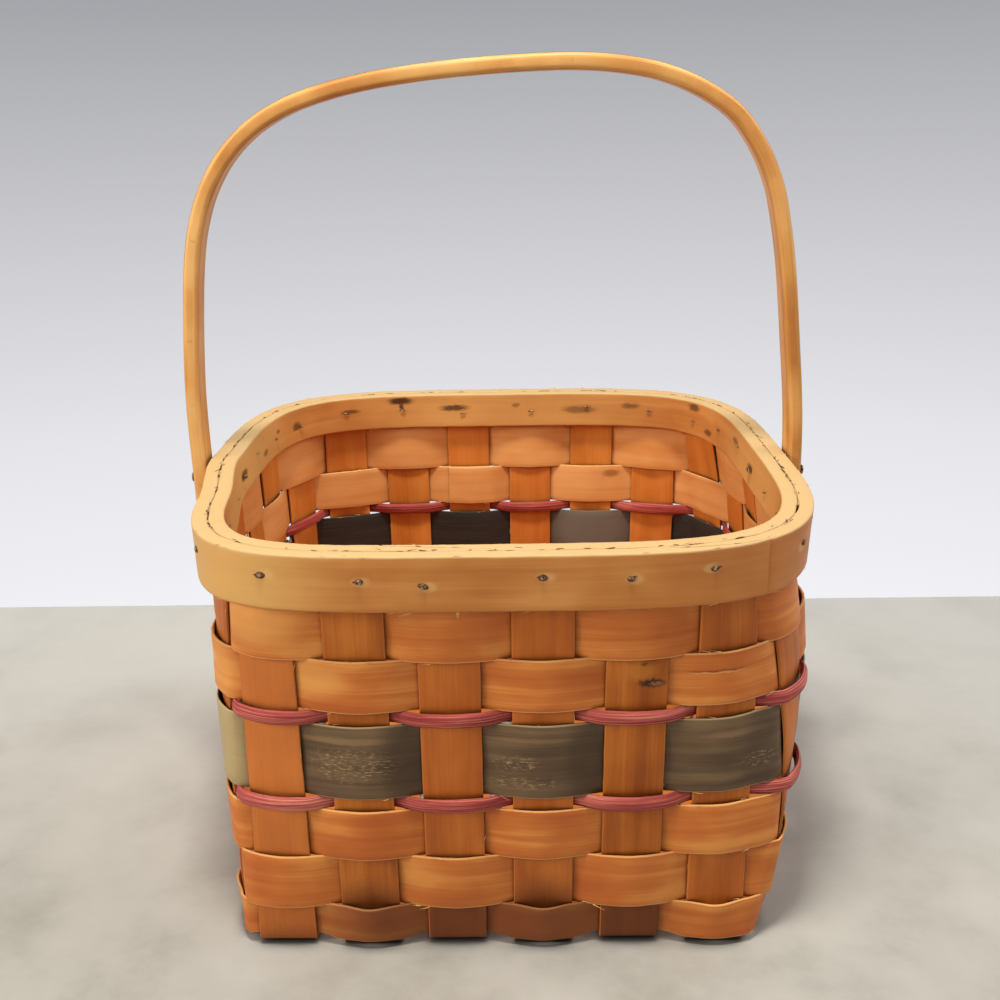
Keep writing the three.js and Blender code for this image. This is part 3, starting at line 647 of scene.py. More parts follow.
# Painted shade: the walls are painted darker towards the foot.
FOOT_SHADE = colour(98, 46, 14)
FOOT_SHADE_TOP = 110 * MM                 # height up to which painted shade darkens the walls towards the foot
FOOT_SHADE_STRENGTH = 0.15
CREAM = colour(202, 167, 112)       # bare cut wood
# Painted shade in the narrow gaps between pieces, found by ambient occlusion.
CREVICE_REACH = 3.2 * MM
CREVICE_STRENGTH = 0.85


class Finish(Nodes):
    """A material in the making, with the coordinates that run along and round a splint."""

    def __init__(self, name):
        self.material = bpy.data.materials.new(name)
        self.material.use_nodes = True
        super().__init__(self.material.node_tree)
        self.tree.nodes.clear()
        self.shader = self.add("ShaderNodeBsdfPrincipled")
        output = self.add("ShaderNodeOutputMaterial")
        self.tree.links.new(self.shader.outputs[0], output.inputs["Surface"])
        self.uv = self.out("ShaderNodeUVMap", uv_map="splint_uv")

    def attribute(self, name):
        return self.add("ShaderNodeAttribute", attribute_name=name).outputs["Fac"]

    def cover(self, share, shade):
        """Lays a colour over what is there so far, as strongly as the share says."""
        inputs = {0: share, 6: self.shade, 7: shade}
        self.shade = self.add("ShaderNodeMix", inputs, data_type="RGBA").outputs[2]

    def coloured(self):
        self.plug(self.shader.inputs["Base Color"], self.shade)
        return self.material

    def inner_side(self):
        """1 on the side of a splint that faces into the basket, and 0 outside."""
        return self.between(self.attribute("face"), 0.2, -0.2)

    def stretched(self, along, across, shift=0.0):
        """The splint's coordinates counted in lengths along and across the grain."""
        moved = self.vector("ADD", self.uv, (0.0, 0.0, shift))
        return self.vector("MULTIPLY", moved, (1 / along, 1 / across, 1.0))

    def crevices(self, reach):
        """How closely neighbours stand round a point, from 0 in the open to 1 in a narrow gap."""
        open_share = self.add("ShaderNodeAmbientOcclusion", {"Distance": reach}, samples=6).outputs["AO"]
        return self.between(open_share, 0.2, 0.85, 1.0, 0.0)

    def piece_tint(self):
        """A number from 0 to 1 that differs from piece to piece."""
        piece = self.math("FLOOR", self.math("DIVIDE", self.parts(self.uv)[0], PIECE_OFFSET))
        return self.add("ShaderNodeTexWhiteNoise", {"W": piece}, noise_dimensions="1D").outputs["Value"]

    def bump(self, height, distance):
        made = self.add("ShaderNodeBump", {"Height": height, "Distance": distance, "Strength": 1.0})
        self.plug(self.shader.inputs["Normal"], made.outputs[0])


STREAK_LENGTH = 46 * MM
BAND_LENGTH = 150 * MM
BAND_WIDTH = 7                      # of the broader bands, counted in streaks
CLOUD_LENGTH = 38 * MM
CLOUD_WIDTH = 22 * MM
PORE_LENGTH = 6 * MM
PORE_WIDTH = 0.25 * MM
PORE_RANGE = 0.64, 0.8
PORE_STRENGTH = 0.45
WEAR_AND_HIGHLIGHT_RANGE = 0.1 * MM, 0.6 * MM     # distances from a splint's edge over which the pale edge, partly wear and partly painted highlight, fades
WEAR_AND_HIGHLIGHT_UNEVENNESS = 0.4 * MM
ROUGHNESS_RANGE = 0.43, 0.6
DARK_TONE = 0.38                    # tones at which the grain is darkest and lightest
LIGHT_TONE = 0.62


def wood(name, dark, middle, light, pore, edge=None, inside=None, grain=0.9 * MM, relief=0.05 * MM,
         streaky=0.3, wear_and_highlight=0.7):
    """Split wood: streaks along the grain, broader bands, slow stain clouds, pores, and pale edges that
    are partly worn and partly a painted highlight.
    """
    finish = Finish(name)
    streaks = finish.noise(
        finish.stretched(STREAK_LENGTH, grain), detail=4.0, roughness=0.6, distortion=0.3,
    )
    bands = finish.noise(finish.stretched(BAND_LENGTH, grain * BAND_WIDTH, 4.0), distortion=0.5)
    clouds = finish.noise(finish.stretched(CLOUD_LENGTH, CLOUD_WIDTH, 9.0))
    clouds = finish.between(clouds, 0.3, 0.7, 0.24, 0.76, "LINEAR")
    fine = finish.noise(finish.stretched(PORE_LENGTH, PORE_WIDTH, 2.0), roughness=0.55)
    rest = (1 - streaky) / 2
    tone = finish.plus(finish.times(streaks, streaky), finish.times(bands, rest))
    tone = finish.plus(tone, finish.times(clouds, rest))
    finish.shade = finish.ramp(tone, [(DARK_TONE, dark), (0.5, middle), (LIGHT_TONE, light)])
    if inside:
        fresh = finish.ramp(tone, [(DARK_TONE, inside[0]), (LIGHT_TONE, inside[1])])
        finish.cover(finish.inner_side(), fresh)
    pores = finish.between(fine, *PORE_RANGE)
    finish.cover(finish.times(pores, PORE_STRENGTH), pore)
    # Pale edges: partly worn bare wood, partly a painted highlight where the edges catch the light.
    if edge:
        depth = finish.plus(finish.attribute("from_edge"), finish.times(streaks, WEAR_AND_HIGHLIGHT_UNEVENNESS))
        finish.cover(finish.between(depth, *WEAR_AND_HIGHLIGHT_RANGE, wear_and_highlight, 0.0), edge)
    rough = finish.between(streaks, 0.3, 0.7, *ROUGHNESS_RANGE, "LINEAR")
    finish.plug(finish.shader.inputs["Roughness"], rough)
    height = finish.minus(finish.plus(streaks, finish.times(fine, 0.5)), pores)
    finish.bump(height, relief)
    finish.shader.inputs["Specular IOR Level"].default_value = 0.3
    finish.streaks = streaks
    return finish


def finished(finish, gap_shade):
    """Paints shade darker towards the foot and into the narrow gaps, and colours the shader."""
    level = finish.parts(finish.add("ShaderNodeTexCoord").outputs["Object"])[2]
    # Painted shade, darker towards the foot.
    finish.cover(finish.between(level, 0.0, FOOT_SHADE_TOP, FOOT_SHADE_STRENGTH, 0.0), FOOT_SHADE)
    # Painted shade in the narrow gaps.
    finish.cover(finish.times(finish.crevices(CREVICE_REACH), CREVICE_STRENGTH), gap_shade)
    return finish.coloured()


SPOT_WOBBLE = 4.5 * MM, 1.6 * MM    # how long and broad the bends of a spot's edge are
SPOT_CORE = 0.35                    # share of its reach where a spot is at its strongest


def on(piece, *spots):
    """Soft ovals on one piece. Each has its place along and across the piece and its reach in both
    ways, in millimetres, and its strength."""
    return [(piece, *spot) for spot in spots]


def soft_spots(finish, spots, raggedness=0.8):
    """How much of any soft oval covers a point."""
    wobble = finish.noise(finish.stretched(*SPOT_WOBBLE, 6.0), detail=4.0, roughness=0.6)
    shift = finish.between(wobble, 0.25, 0.75, -raggedness * MM, raggedness * MM, "LINEAR")
    place = finish.vector("ADD", finish.uv, finish.joined(shift, finish.times(shift, 0.6)))
    covered = None
    for piece, along, across, length, width, strength in spots:
        centre = (piece_offset(piece + "_finish") + along * MM, across * MM, 0.0)
        away = finish.vector("SUBTRACT", place, centre)
        away = finish.vector("MULTIPLY", away, (1 / (length * MM), 1 / (width * MM), 0.0))
        spot = finish.between(finish.vector("LENGTH", away), SPOT_CORE, 1.0, strength, 0.0)
        covered = spot if covered is None else finish.math("MAXIMUM", covered, spot)
    return covered


def lay_spots(finish, spots, shade, raggedness=0.8):
    finish.cover(soft_spots(finish, spots, raggedness), shade)


def stake_wood():
    """Stained splints with pale cut ends. The front ones have painted shade at the foot. One has a knot.
    """
    finish = wood(
        "stake_wood", colour(158, 78, 18), colour(184, 98, 26), colour(206, 118, 40), colour(112, 52, 12),
        edge=colour(220, 140, 62), inside=(colour(206, 120, 44), colour(230, 146, 62)), grain=1.2 * MM,
        streaky=0.24, wear_and_highlight=0.3,
    )
    tint = finish.between(finish.piece_tint(), 0.0, 1.0, 0.0, 0.35, "LINEAR")
    finish.cover(tint, colour(214, 112, 44))
    stake = "lengthwise_stake_"
    lay_spots(finish, on(stake + "1", (80, 0, 150, 40, 0.5)), colour(224, 130, 60))
    # Painted shade at the feet of the front stakes.
    shaded_feet = sum((on(stake + number, (178, 0, 32, 30, 0.8)) for number in "2345"), [])
    shaded_feet += on(stake + "1", (190, 0, 18, 30, 0.5)) + on(stake + "6", (190, 0, 22, 30, 0.5))
    lay_spots(finish, shaded_feet, colour(84, 38, 12))
    lay_spots(finish, on(stake + "5", (53, 1.5, 6, 9, 0.5)), colour(214, 134, 46))
    knots = on(stake + "5", (58.6, 6.4, 2.5, 8.0, 0.95), (50, 3.0, 1.2, 2.2, 0.6))
    knots += on(stake + "3", (31, -6, 3.6, 0.7, 0.6)) + on(stake + "6", (22, -1.5, 2.2, 0.8, 0.7))
    lay_spots(finish, knots, colour(56, 26, 12))
    lay_spots(finish, on(stake + "5", (58.9, 8.0, 1.1, 4.2, 0.8)), colour(158, 106, 64))
    cut = finish.between(finish.attribute("from_end"), 0.55, 0.95)
    finish.cover(cut, CREAM)
    return finished(finish, colour(66, 26, 6))


def weaver_wood():
    """Paler splints. The lowest one has painted shade in the middle of the front wall, and some rows have
    painted highlights.
    """
    finish = wood(
        "weaver_wood", colour(192, 98, 38), colour(208, 116, 47), colour(228, 146, 68),
        colour(174, 90, 30), edge=colour(240, 184, 112),
        inside=(colour(226, 150, 80), colour(240, 174, 104)), streaky=0.16, relief=0.035 * MM,
    )
    row = "weaver_row_"
    # Painted shade in the middle of the lowest row on the front wall.
    lay_spots(finish, on(row + "5", (405, 3, 112, 60, 0.8)), colour(104, 50, 20))
    # Painted highlights where the weavers face the light.
    painted_highlights = on(row + "1", (712, 3, 30, 16, 0.6))
    painted_highlights += on(row + "2", (400, 3, 20, 12, 0.5), (355, 0, 18, 20, 0.5))
    painted_highlights += on(row + "4", (770, 3, 26, 14, 0.4))
    lay_spots(finish, painted_highlights, colour(240, 170, 88))
    lay_spots(finish, on(row + "2", (900.2, 17.9, 7, 3.4, 0.6)), colour(142, 74, 30))
    # A scratch: a painted highlight along its lower lip, and its dark line above.
    lay_spots(finish, on(row + "2", (569, 3.0, 18, 0.6, 0.5)), colour(238, 176, 112))
    lay_spots(finish, on(row + "2", (569, 3.7, 18, 0.5, 0.8)), colour(122, 58, 22))
    fibre = on(row + "1", (796.6, 9.7, 0.6, 4, 0.8)) + on(row + "2", (345, 3, 9, 5, 0.3))
    lay_spots(finish, fibre, colour(246, 206, 150))
    return finished(finish, colour(80, 32, 8))


def green_wood():
    """Outside the stain is thin, brownish and rubbed, inside it is nearly black."""
    finish = wood(
        "green_stained_wood", colour(86, 64, 44), colour(104, 80, 54), colour(124, 98, 68),
        colour(66, 48, 34), edge=colour(186, 156, 112), grain=0.6 * MM,
    )
    green = "green_weaver"
    lay_spots(finish, on(green, (200, 0, 34, 60, 0.8)), colour(198, 172, 120))
    bands = on(
        green, (268, 10.4, 32, 2.2, 0.6), (432, 9.5, 22, 2.4, 0.5), (345, 10.5, 26, 1.6, 0.35),
        (320, 2, 2.6, 12, 0.4),
    )
    lay_spots(finish, bands, colour(156, 120, 84))
    soaked = on(
        green, (291, 0, 16, 30, 0.7), (368, 0, 14, 30, 0.6), (444, 0, 14, 30, 0.5),
        (422, -3, 14, 7, 0.4),
    )
    lay_spots(finish, soaked, colour(62, 46, 32))
    speckle = finish.noise(finish.stretched(3.2 * MM, 0.7 * MM, 12.0), detail=4.0, roughness=0.7)
    speckle = finish.between(speckle, 0.5, 0.66)
    rubbed = on(
        green, (268, -1, 24, 11, 0.75), (337, -1, 14, 6, 0.6), (340, -10, 20, 4, 0.7),
        (443, -5, 12, 5, 0.6),
    )
    bare = finish.times(soft_spots(finish, rubbed), speckle)
    finish.cover(bare, colour(196, 164, 118))
    black = finish.ramp(finish.streaks, [(0.35, colour(42, 38, 34)), (0.65, colour(62, 58, 52))])
    finish.cover(finish.inner_side(), black)
    lay_spots(finish, on(green, (770.5, 30.1, 40, 30, 0.8)), colour(132, 122, 108))
    return finished(finish, colour(26, 16, 10))


def red_reed():
    finish = wood(
        "red_stained_reed", colour(126, 38, 38), colour(180, 75, 66), colour(224, 136, 114),
        colour(84, 22, 28), grain=0.42 * MM, relief=0.3 * MM, streaky=0.7,
    )
    return finished(finish, colour(60, 12, 16))


OUTER = "outer_rim_band"
INNER = "inner_rim_band"
# Places along and across the outer band where tacks split it.
TACK_PITS = [
    (813.6, 3.7), (850.6, 1.9), (876.8, -0.3), (922.5, 3.3), (956.9, 1.8), (987.5, 4.3), (64.4, 2.3),
]
RUST_STAINS = on(
    INNER, (600.9, 25.4, 8, 1.9, 0.7), (569.5, 20.2, 10.5, 3.2, 0.95), (569.0, 24.0, 2.2, 3.2, 0.9),
    (536.5, 25.0, 12, 2.8, 0.85), (499.2, 24.2, 3.2, 1.8, 0.5), (460.1, 27.1, 14, 3.4, 0.55),
    (428.7, 24.2, 7.5, 2.6, 0.6), (383.7, 20.5, 7, 3.4, 0.75), (367.2, 32.1, 6, 2.6, 0.7),
    (642.2, 27.6, 6, 3.4, 0.75), (664.5, 24.4, 3.6, 1.8, 0.6), (690.0, 30.0, 6, 2.2, 0.6),
    (739.5, 27.8, 10, 3.6, 0.8), (281.2, 28.2, 8, 3.2, 0.8), (320.0, 24.0, 9, 2.4, 0.6),
)
UPPER_MIDDLE = 17 * MM              # how far round a band the middle of its upper part lies
UPPER_REACH = 12 * MM               # how far from there that part runs down both faces
BARE_RANGE = 0.2 * MM, 0.7 * MM     # distances from a band's edge over which bare wood ends
BARE_UNEVENNESS = 0.5 * MM


def band_wood():
    """Smooth split wood, bare along its top edge and where the tacks went through, with painted light on
    its lit parts and painted shade on the outer band's front middle and right.
    """
    finish = wood(
        "rim_band_wood", colour(188, 115, 52), colour(200, 128, 61), colour(212, 143, 75),
        colour(162, 96, 40), streaky=0.16, relief=0.03 * MM,
    )
    # Painted light: a painted reflection on the outer band's left end, and paler painted light on the lit
    # parts of the inner band.
    pale = on(OUTER, (768, 0, 84, 60, 0.8))
    pale += on(INNER, (740, 28, 110, 40, 0.8), (505, 28, 120, 40, 0.4), (270, 28, 90, 40, 0.45))
    lay_spots(finish, pale, colour(222, 172, 98))
    # Painted shade over the middle and right of the outer band's front.
    lay_spots(finish, on(OUTER, (30, 0, 80, 60, 0.5), (1006, 0, 46, 60, 0.4)), colour(190, 112, 54))
    halos = on(OUTER, *((along - 1.4, across - 0.6, 5.0, 3.0, 0.45) for along, across in TACK_PITS))
    lay_spots(finish, halos, colour(228, 182, 122))
    lay_spots(finish, RUST_STAINS, colour(66, 34, 16), raggedness=1.4)
    around = finish.minus(finish.parts(finish.uv)[1], UPPER_MIDDLE)
    upper = finish.math("LESS_THAN", finish.math("ABSOLUTE", around), UPPER_REACH)
    depth = finish.attribute("from_edge")
    depth = finish.plus(depth, finish.times(finish.streaks, BARE_UNEVENNESS))
    bare = finish.times(upper, finish.between(depth, *BARE_RANGE, 1.0, 0.0))
    finish.cover(bare, CREAM)
    return finished(finish, colour(84, 44, 16))


def handle_wood():
    finish = wood(
        "handle_wood", colour(186, 118, 53), colour(214, 150, 78), colour(232, 177, 104),
        colour(144, 84, 34), streaky=0.4,
    )
    return finished(finish, colour(110, 60, 24))


STAKE_WOOD = stake_wood()
WEAVER_WOOD = weaver_wood()
GREEN_WOOD = green_wood()
RED_REED = red_reed()
BAND_WOOD = band_wood()
HANDLE_WOOD = handle_wood()


# Weavers and reeds

INNER_CROWN = 1.4 * MM              # how far a weaver bulges in behind a stake
ROW_OVERLAP = 0.6 * MM              # how much wider a row is at each edge than its node
FOOT_LIFT = 0.6 * MM                # how much higher the lowest row's lower edge is than its node's
TOP_ROW_TUCK = 3 * MM               # how far the top row reaches up between the bands
INSIDE_CLEARANCE = 5.3 * MM         # least height of a row inside the stakes, above their folds


class Row:
    """One row of the weave. Over tells which stakes it passes outside, lap is the stake behind
    which its ends overlap, and crown is how far it bulges over a stake."""

    def __init__(self, node, over, lap, crown, lean=0.0, reed=False):
        low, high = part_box(node)
        overlap = 0 if reed else ROW_OVERLAP
        self.node = node
        self.low = low.z + FOOT_LIFT if node == "weaver_row_5" else low.z - overlap
        self.high = high.z + overlap + (TOP_ROW_TUCK if node == "weaver_row_1" else 0)
        self.over = over
        self.lap = lap
        self.crown = crown
        self.lean = lean
        self.reed = reed


ROWS = [
    Row("weaver_row_5", 1, 18, 1.9 * MM, lean=1.6 * MM),
    Row("weaver_row_4", 0, 15, 1.5 * MM),
    Row("weaver_row_3", 1, 8, 1.5 * MM),
    Row("red_reed_lower", 0, 17, 1.3 * MM, reed=True),
    Row("green_weaver", 1, 20, 1.5 * MM),
    Row("red_reed_upper", 0, 23, 1.3 * MM, reed=True),
    Row("weaver_row_2", 1, 16, 1.5 * MM),
    Row("weaver_row_1", 0, 7, 1.2 * MM),
]


def weaver_guide(row):
    """A weaver passes outside every second stake and inside the others, and its finishing end
    lies inside its starting end."""
    thickness = REED_THICKNESS if row.reed else WEAVER_THICKNESS
    edge = STAKE_THICKNESS / 2 + 0.5 * GAP + thickness / 2
    knots = []
    for step in range(END_COUNT + 1):
        index = row.lap + step
        face, crown, lean, low = edge, row.crown, row.lean, row.low
        if index % 2 != row.over:
            face = -edge - (thickness + GAP if step == END_COUNT else 0)
            crown, lean, low = -INNER_CROWN, 0, max(row.low, INSIDE_CLEARANCE)
        for side, swelling in ((-1, 0), (0, 1), (1, 0)):
            place = turned(index) + side * HALF_STAKE
            knots.append((place, face + swelling * crown, swelling * lean, low))
    places, *values = np.array(knots).T
    count = int((places[-1] - places[0]) / STEP)
    distance = np.linspace(places[0], places[-1], count)
    offset, lean, low = (smooth_through(places, column, distance) for column in values)
    below, below_normal = wall(distance, low)
    above, above_normal = wall(distance, np.full(count, row.high))
    _, middle_normal = wall(distance, (low + row.high) / 2)
    below = below + below_normal * offset[:, None]
    above = above + above_normal * (offset + lean)[:, None]
    tilt = unit(above - below)
    outward = unit(middle_normal - tilt * np.einsum("ij,ij->i", middle_normal, tilt)[:, None])
    return Guide(below, above, outward, thickness)


def add_weavers():
    for row in ROWS:
        section, finish, slot = SPLINT_SECTION, WEAVER_WOOD, "orange"
        sizes = {}
        if row.reed:
            section, finish, slot = REED_SECTION, RED_REED, "red"
            sizes = {"ripple": 0.4 * MM, "ripple_length": 20 * MM, "fibre": 0.45}
        elif row.node == "green_weaver":
            finish, slot = GREEN_WOOD, "green"
        add_splint(row.node + "_finish", weaver_guide(row), section, finish, slot, [row.node], **sizes)


# Stakes

STAKE_WAVE = 0.25 * MM              # how far the weavers press a stake in and out
FLOOR_LOW = STAKE_THICKNESS / 2
FLOOR_HIGH = FLOOR_LOW + STAKE_THICKNESS + GAP
CROSSING_HALF = HALF_STAKE + 0.5 * MM
WAVE_END = 3 * MM                   # above the top row, where a stake is straight again


def stake_wave(index, height):
    """The weavers press a stake in where they pass outside it, and out where they pass inside."""
    middles = [(row.low + row.high) / 2 for row in ROWS]
    waves = [-STAKE_WAVE if index % 2 == row.over else STAKE_WAVE for row in ROWS]
    knots = [0.0, *middles, ROWS[-1].high + WAVE_END, HEIGHT]
    return smooth_through(knots, [0.0, *waves, 0.0, 0.0], height)


def stake_wall(index, level):
    """The edges of a stake's end from the top of the wall down to the floor, and its outward side."""
    end = ENDS[index]
    top = HEIGHT - STAKE_TOP
    fold_top = level + FLOOR_BEND
    height = np.linspace(top, fold_top, int((top - fold_top) / STEP))
    (left, _), (right, _), (centre, normal) = (
        wall(np.full(len(height), end.rim + side), height) for side in (-HALF_STAKE, HALF_STAKE, 0)
    )
    wave = normal * stake_wave(index, height)[:, None]
    left = left + wave
    right = right + wave
    cup = np.einsum("ij,ij->i", centre + wave - (left + right) / 2, normal)
    out = normal[-1]
    rings = []
    for angle in np.linspace(math.pi / 2, 0, FOLD_STEPS + 1)[1:]:
        back = FLOOR_BEND * (1 - math.sin(angle))
        drop = FLOOR_BEND * (1 - math.cos(angle)) - FLOOR_BEND
        shift = -out * back + np.array([0, 0, drop])
        facing = out * math.sin(angle) - np.array([0, 0, math.cos(angle)])
        rings.append((left[-1] + shift, right[-1] + shift, facing))
    folded = [np.array(column) for column in zip(*rings)]
    left, right, outward = map(np.concatenate, zip((left, right, normal), folded))
    cup = np.concatenate([cup, np.zeros(len(rings))])
    return left, right, outward, cup


def stake_guide(start, finish, levels, pitch):
    """Down one wall, under the basket through the plain weave of the floor, and up the other."""
    first = stake_wall(start, levels[0])
    last = stake_wall(finish, levels[-1])
    down = np.array([0.0, 0.0, -1.0])
    from_left, from_right = first[0][-1], first[1][-1]
    to_left, to_right = last[1][-1], last[0][-1]
    way = to_left - from_left
    way[2] = 0
    length = np.linalg.norm(way)
    knots = [0.0]
    values = [levels[0]]
    for i, level in enumerate(levels):
        centre = length / 2 + (i - (len(levels) - 1) / 2) * pitch
        knots += [centre - CROSSING_HALF, centre + CROSSING_HALF]
        values += [level, level]
    knots.append(length)
    values.append(levels[-1])
    travel = np.linspace(0, length, int(length / STEP))[1:-1]
    height = smooth_through(knots, values, travel)
    share = (travel / length)[:, None]
    left = from_left + (to_left - from_left) * share
    right = from_right + (to_right - from_right) * share
    left[:, 2] = height
    right[:, 2] = height
    floor = left, right, np.tile(down, (len(travel), 1)), np.zeros(len(travel))
    other = [part[::-1] for part in last]
    other[0], other[1] = other[1], other[0]
    left, right, outward, cup = (np.concatenate(parts) for parts in zip(first, floor, other))
    return Guide(left, right, outward, STAKE_THICKNESS, cup)


def end_index(wall_name, number):
    return next(i for i, end in enumerate(ENDS) if (end.wall, end.number) == (wall_name, number))


def add_stakes():
    """A crosswise stake runs below a lengthwise one where their numbers add up to an even number."""
    kinds = (
        ("lengthwise", ("front", "back"), LENGTHWISE_COUNT, CROSSWISE_COUNT, FLOOR_PITCH_DEPTH, 1),
        ("crosswise", ("left", "right"), CROSSWISE_COUNT, LENGTHWISE_COUNT, FLOOR_PITCH_WIDTH, 0),
    )
    for kind, walls, count, crossings, pitch, odd in kinds:
        for number in range(1, count + 1):
            levels = [
                FLOOR_LOW if (number + other) % 2 == odd else FLOOR_HIGH
                for other in range(1, crossings + 1)
            ]
            start, finish = (end_index(wall_name, number) for wall_name in walls)
            guide = stake_guide(start, finish, levels, pitch)
            node = f"{kind}_stake_{number}"
            add_splint(
                node + "_finish", guide, SPLINT_SECTION, STAKE_WOOD, "stake", [node],
                ragged_end=1.6 * MM,
            )


# Rim

LAP_TIP = 0.6 * MM                  # thickness of a band's tapered end
OUTER_LAP = 4, 38.2 * MM            # stake where the lap starts, and its length
INNER_LAP = 1, 44.6 * MM
BAND_FACE = STAKE_THICKNESS / 2 + GAP
SEAM = 0.1 * MM                     # from the wall's middle to a band, as they are pressed together
SEAM_WANDER = 0.6 * MM
SEAM_LEAST = 0.02 * MM
SEAM_BENDS = 21 * MM, 7 * MM        # lengths of the seam's slow and quick bends


def wander(places, length, seed):
    """A smooth random curve between -1 and 1 whose bends lie a length apart."""
    knots = np.arange(places.min() - length, places.max() + 2 * length, length)
    values = np.random.RandomState(seed).uniform(-1, 1, len(knots))
    return smooth_through(knots, values, places)


def band_guide(inner_face, outer_face, height, lap, seam_side, seed):
    """A hoop whose two tapered ends lie over each other in a long scarf."""
    stake, lap_length = lap
    start = turned(stake) + HALF_STAKE
    count = int((RIM.length + lap_length) / STEP)
    walked = np.linspace(0, RIM.length + lap_length, count)

    def split(share):
        return inner_face + LAP_TIP + share * (outer_face - inner_face - 2 * LAP_TIP - GAP)

    opening = np.clip(walked / lap_length, 0, 1)
    closing = np.clip((walked - RIM.length) / lap_length, 0, 1)
    to = np.where(walked < lap_length, split(opening), outer_face)
    start_face = np.where(walked > RIM.length, split(closing) + GAP, inner_face)
    slow, quick = (wander(walked, bend, seed + i) for i, bend in enumerate(SEAM_BENDS))
    seam = np.maximum(SEAM + SEAM_WANDER * (slow + quick) / 2, SEAM_LEAST)
    if seam_side > 0:
        start_face = np.where(walked > RIM.length, start_face, seam)
    else:
        to = np.where(walked < lap_length, to, -seam)
    offset = (start_face + to) / 2
    low, low_normal = wall(start + walked, np.full(count, HEIGHT - height))
    high, high_normal = wall(start + walked, np.full(count, HEIGHT))
    low = low + low_normal * offset[:, None]
    high = high + high_normal * offset[:, None]
    return Guide(low, high, (low_normal + high_normal) / 2, to - start_face)


def add_rim():
    back = BAND_FACE + BAND_THICKNESS
    outer = band_guide(BAND_FACE, back, HEIGHT - OUTER_LOW.z, OUTER_LAP, 1, 3)
    inner = band_guide(-back, -BAND_FACE, HEIGHT - INNER_LOW.z, INNER_LAP, -1, 8)
    for node, guide in ((OUTER, outer), (INNER, inner)):
        add_splint(
            node + "_finish", guide, BAND_SECTION, BAND_WOOD, "band", [node],
            edge_radius=0.7 * MM, ripple=0.3 * MM, ripple_length=70 * MM, ragged_edge=0.6 * MM,
            ragged_length=12 * MM,
        )


# Handle

HANDLE_CHAMFER = 1.9 * MM
ARCH_CENTRE = 50 * MM               # above the rim, the point round which the stations are sorted


def handle_guide():
    """The bail's middle line, smoothed through the stations of its node, with half its width."""
    points = np.array([v.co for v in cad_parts["bail_handle"].data.vertices])
    front = points[:, 1].min()
    corners = np.unique(np.round(points[points[:, 1] < front + 0.01 * MM], 6), axis=0)
    centre = np.array([0, HEIGHT + ARCH_CENTRE])
    angle = np.arctan2(corners[:, 0] - centre[0], corners[:, 2] - centre[1])
    corners = corners[np.argsort(angle)]
    middles = (corners[0::2] + corners[1::2]) / 2
    middles[:, 1] = 0
    walked = distances_along(middles)
    places = np.linspace(0, walked[-1], int(walked[-1] / STEP))
    line = np.stack([hermite(walked, m, np.gradient(m, walked), places) for m in middles.T], 1)
    way = unit(np.gradient(line, axis=0))
    outward = np.cross(way, (0, 1, 0))
    if outward[len(outward) // 2][2] < 0:
        outward = -outward
    half = np.array([0, -front, 0])
    thickness = np.linalg.norm(corners[1] - corners[0]) + 2 * HANDLE_CHAMFER
    return Guide(line - half, line + half, outward, thickness)


def add_handle():
    add_splint(
        "bail_handle_finish", handle_guide(), HANDLE_SECTION, HANDLE_WOOD, "handle", ["bail_handle"],
        body="bail", edge_radius=2.4 * MM, ripple=0.2 * MM, ripple_length=120 * MM,
        ragged_length=60 * MM, ragged_end=0.6 * MM,
    )


# Nails

def set_on_points(nodes, geometry, thing, spun=False):
    """Sets a thing on each point, sized and turned as the point's own attributes say."""
    points = nodes.out("GeometryNodeMeshToPoints", {"Mesh": geometry})
    inputs = {"Vector": nodes.named("facing")}
    way = nodes.out("FunctionNodeAlignRotationToVector", inputs, axis="Z")
    if spun:
        inputs = {"Axis": (0.0, 0.0, 1.0), "Angle": nodes.named("turn", "FLOAT")}
        spin = nodes.out("FunctionNodeAxisAngleToRotation", inputs)
        inputs = {"Rotation": way, "Rotate By": spin}
        way = nodes.out("FunctionNodeRotateRotation", inputs, rotation_space="LOCAL")
    inputs = {"Points": points, "Instance": thing, "Rotation": way, "Scale": nodes.named("size")}
    return nodes.out("GeometryNodeInstanceOnPoints", inputs)


def nail_tree():
    """Sets a small oval body on each point, turned to the point's own direction."""
    nodes, given = new_tree("nail_heads", [("Finish", "Material")])
    inputs = {"Segments": 20, "Rings": 12, "Radius": 1.0}
    ball = nodes.add("GeometryNodeMeshUVSphere", inputs).outputs["Mesh"]
    place = nodes.out("GeometryNodeInputPosition")
    rough = nodes.minus(nodes.noise(place, scale=1.7, detail=2.0), 0.5)
    dent = nodes.scaled(place, nodes.times(rough, 0.3))
    ball = nodes.out("GeometryNodeSetPosition", {"Geometry": ball, "Offset": dent})
    ball = nodes.out("GeometryNodeSetShadeSmooth", {"Geometry": ball, "Shade Smooth": True})
    placed = set_on_points(nodes, given["Geometry"], ball, spun=True)
    return finish_tree(nodes, placed, given["Finish"])


def mottled(name, stops, scale, detail, roughness, metallic=0.0):
    """A material whose colour varies with place, for what has no grain."""
    finish = Finish(name)
    place = finish.add("ShaderNodeTexCoord").outputs["Object"]
    finish.shade = finish.ramp(finish.noise(place, scale=scale, detail=detail), stops)
    finish.shader.inputs["Roughness"].default_value = roughness
    finish.shader.inputs["Metallic"].default_value = metallic
    return finish.coloured()


def nail_steel():
    stops = [(0.35, colour(70, 44, 26)), (0.5, colour(132, 98, 66)), (0.62, colour(190, 164, 128))]
    return mottled("nail_steel", stops, scale=900.0, detail=3.0, roughness=0.55, metallic=0.6)


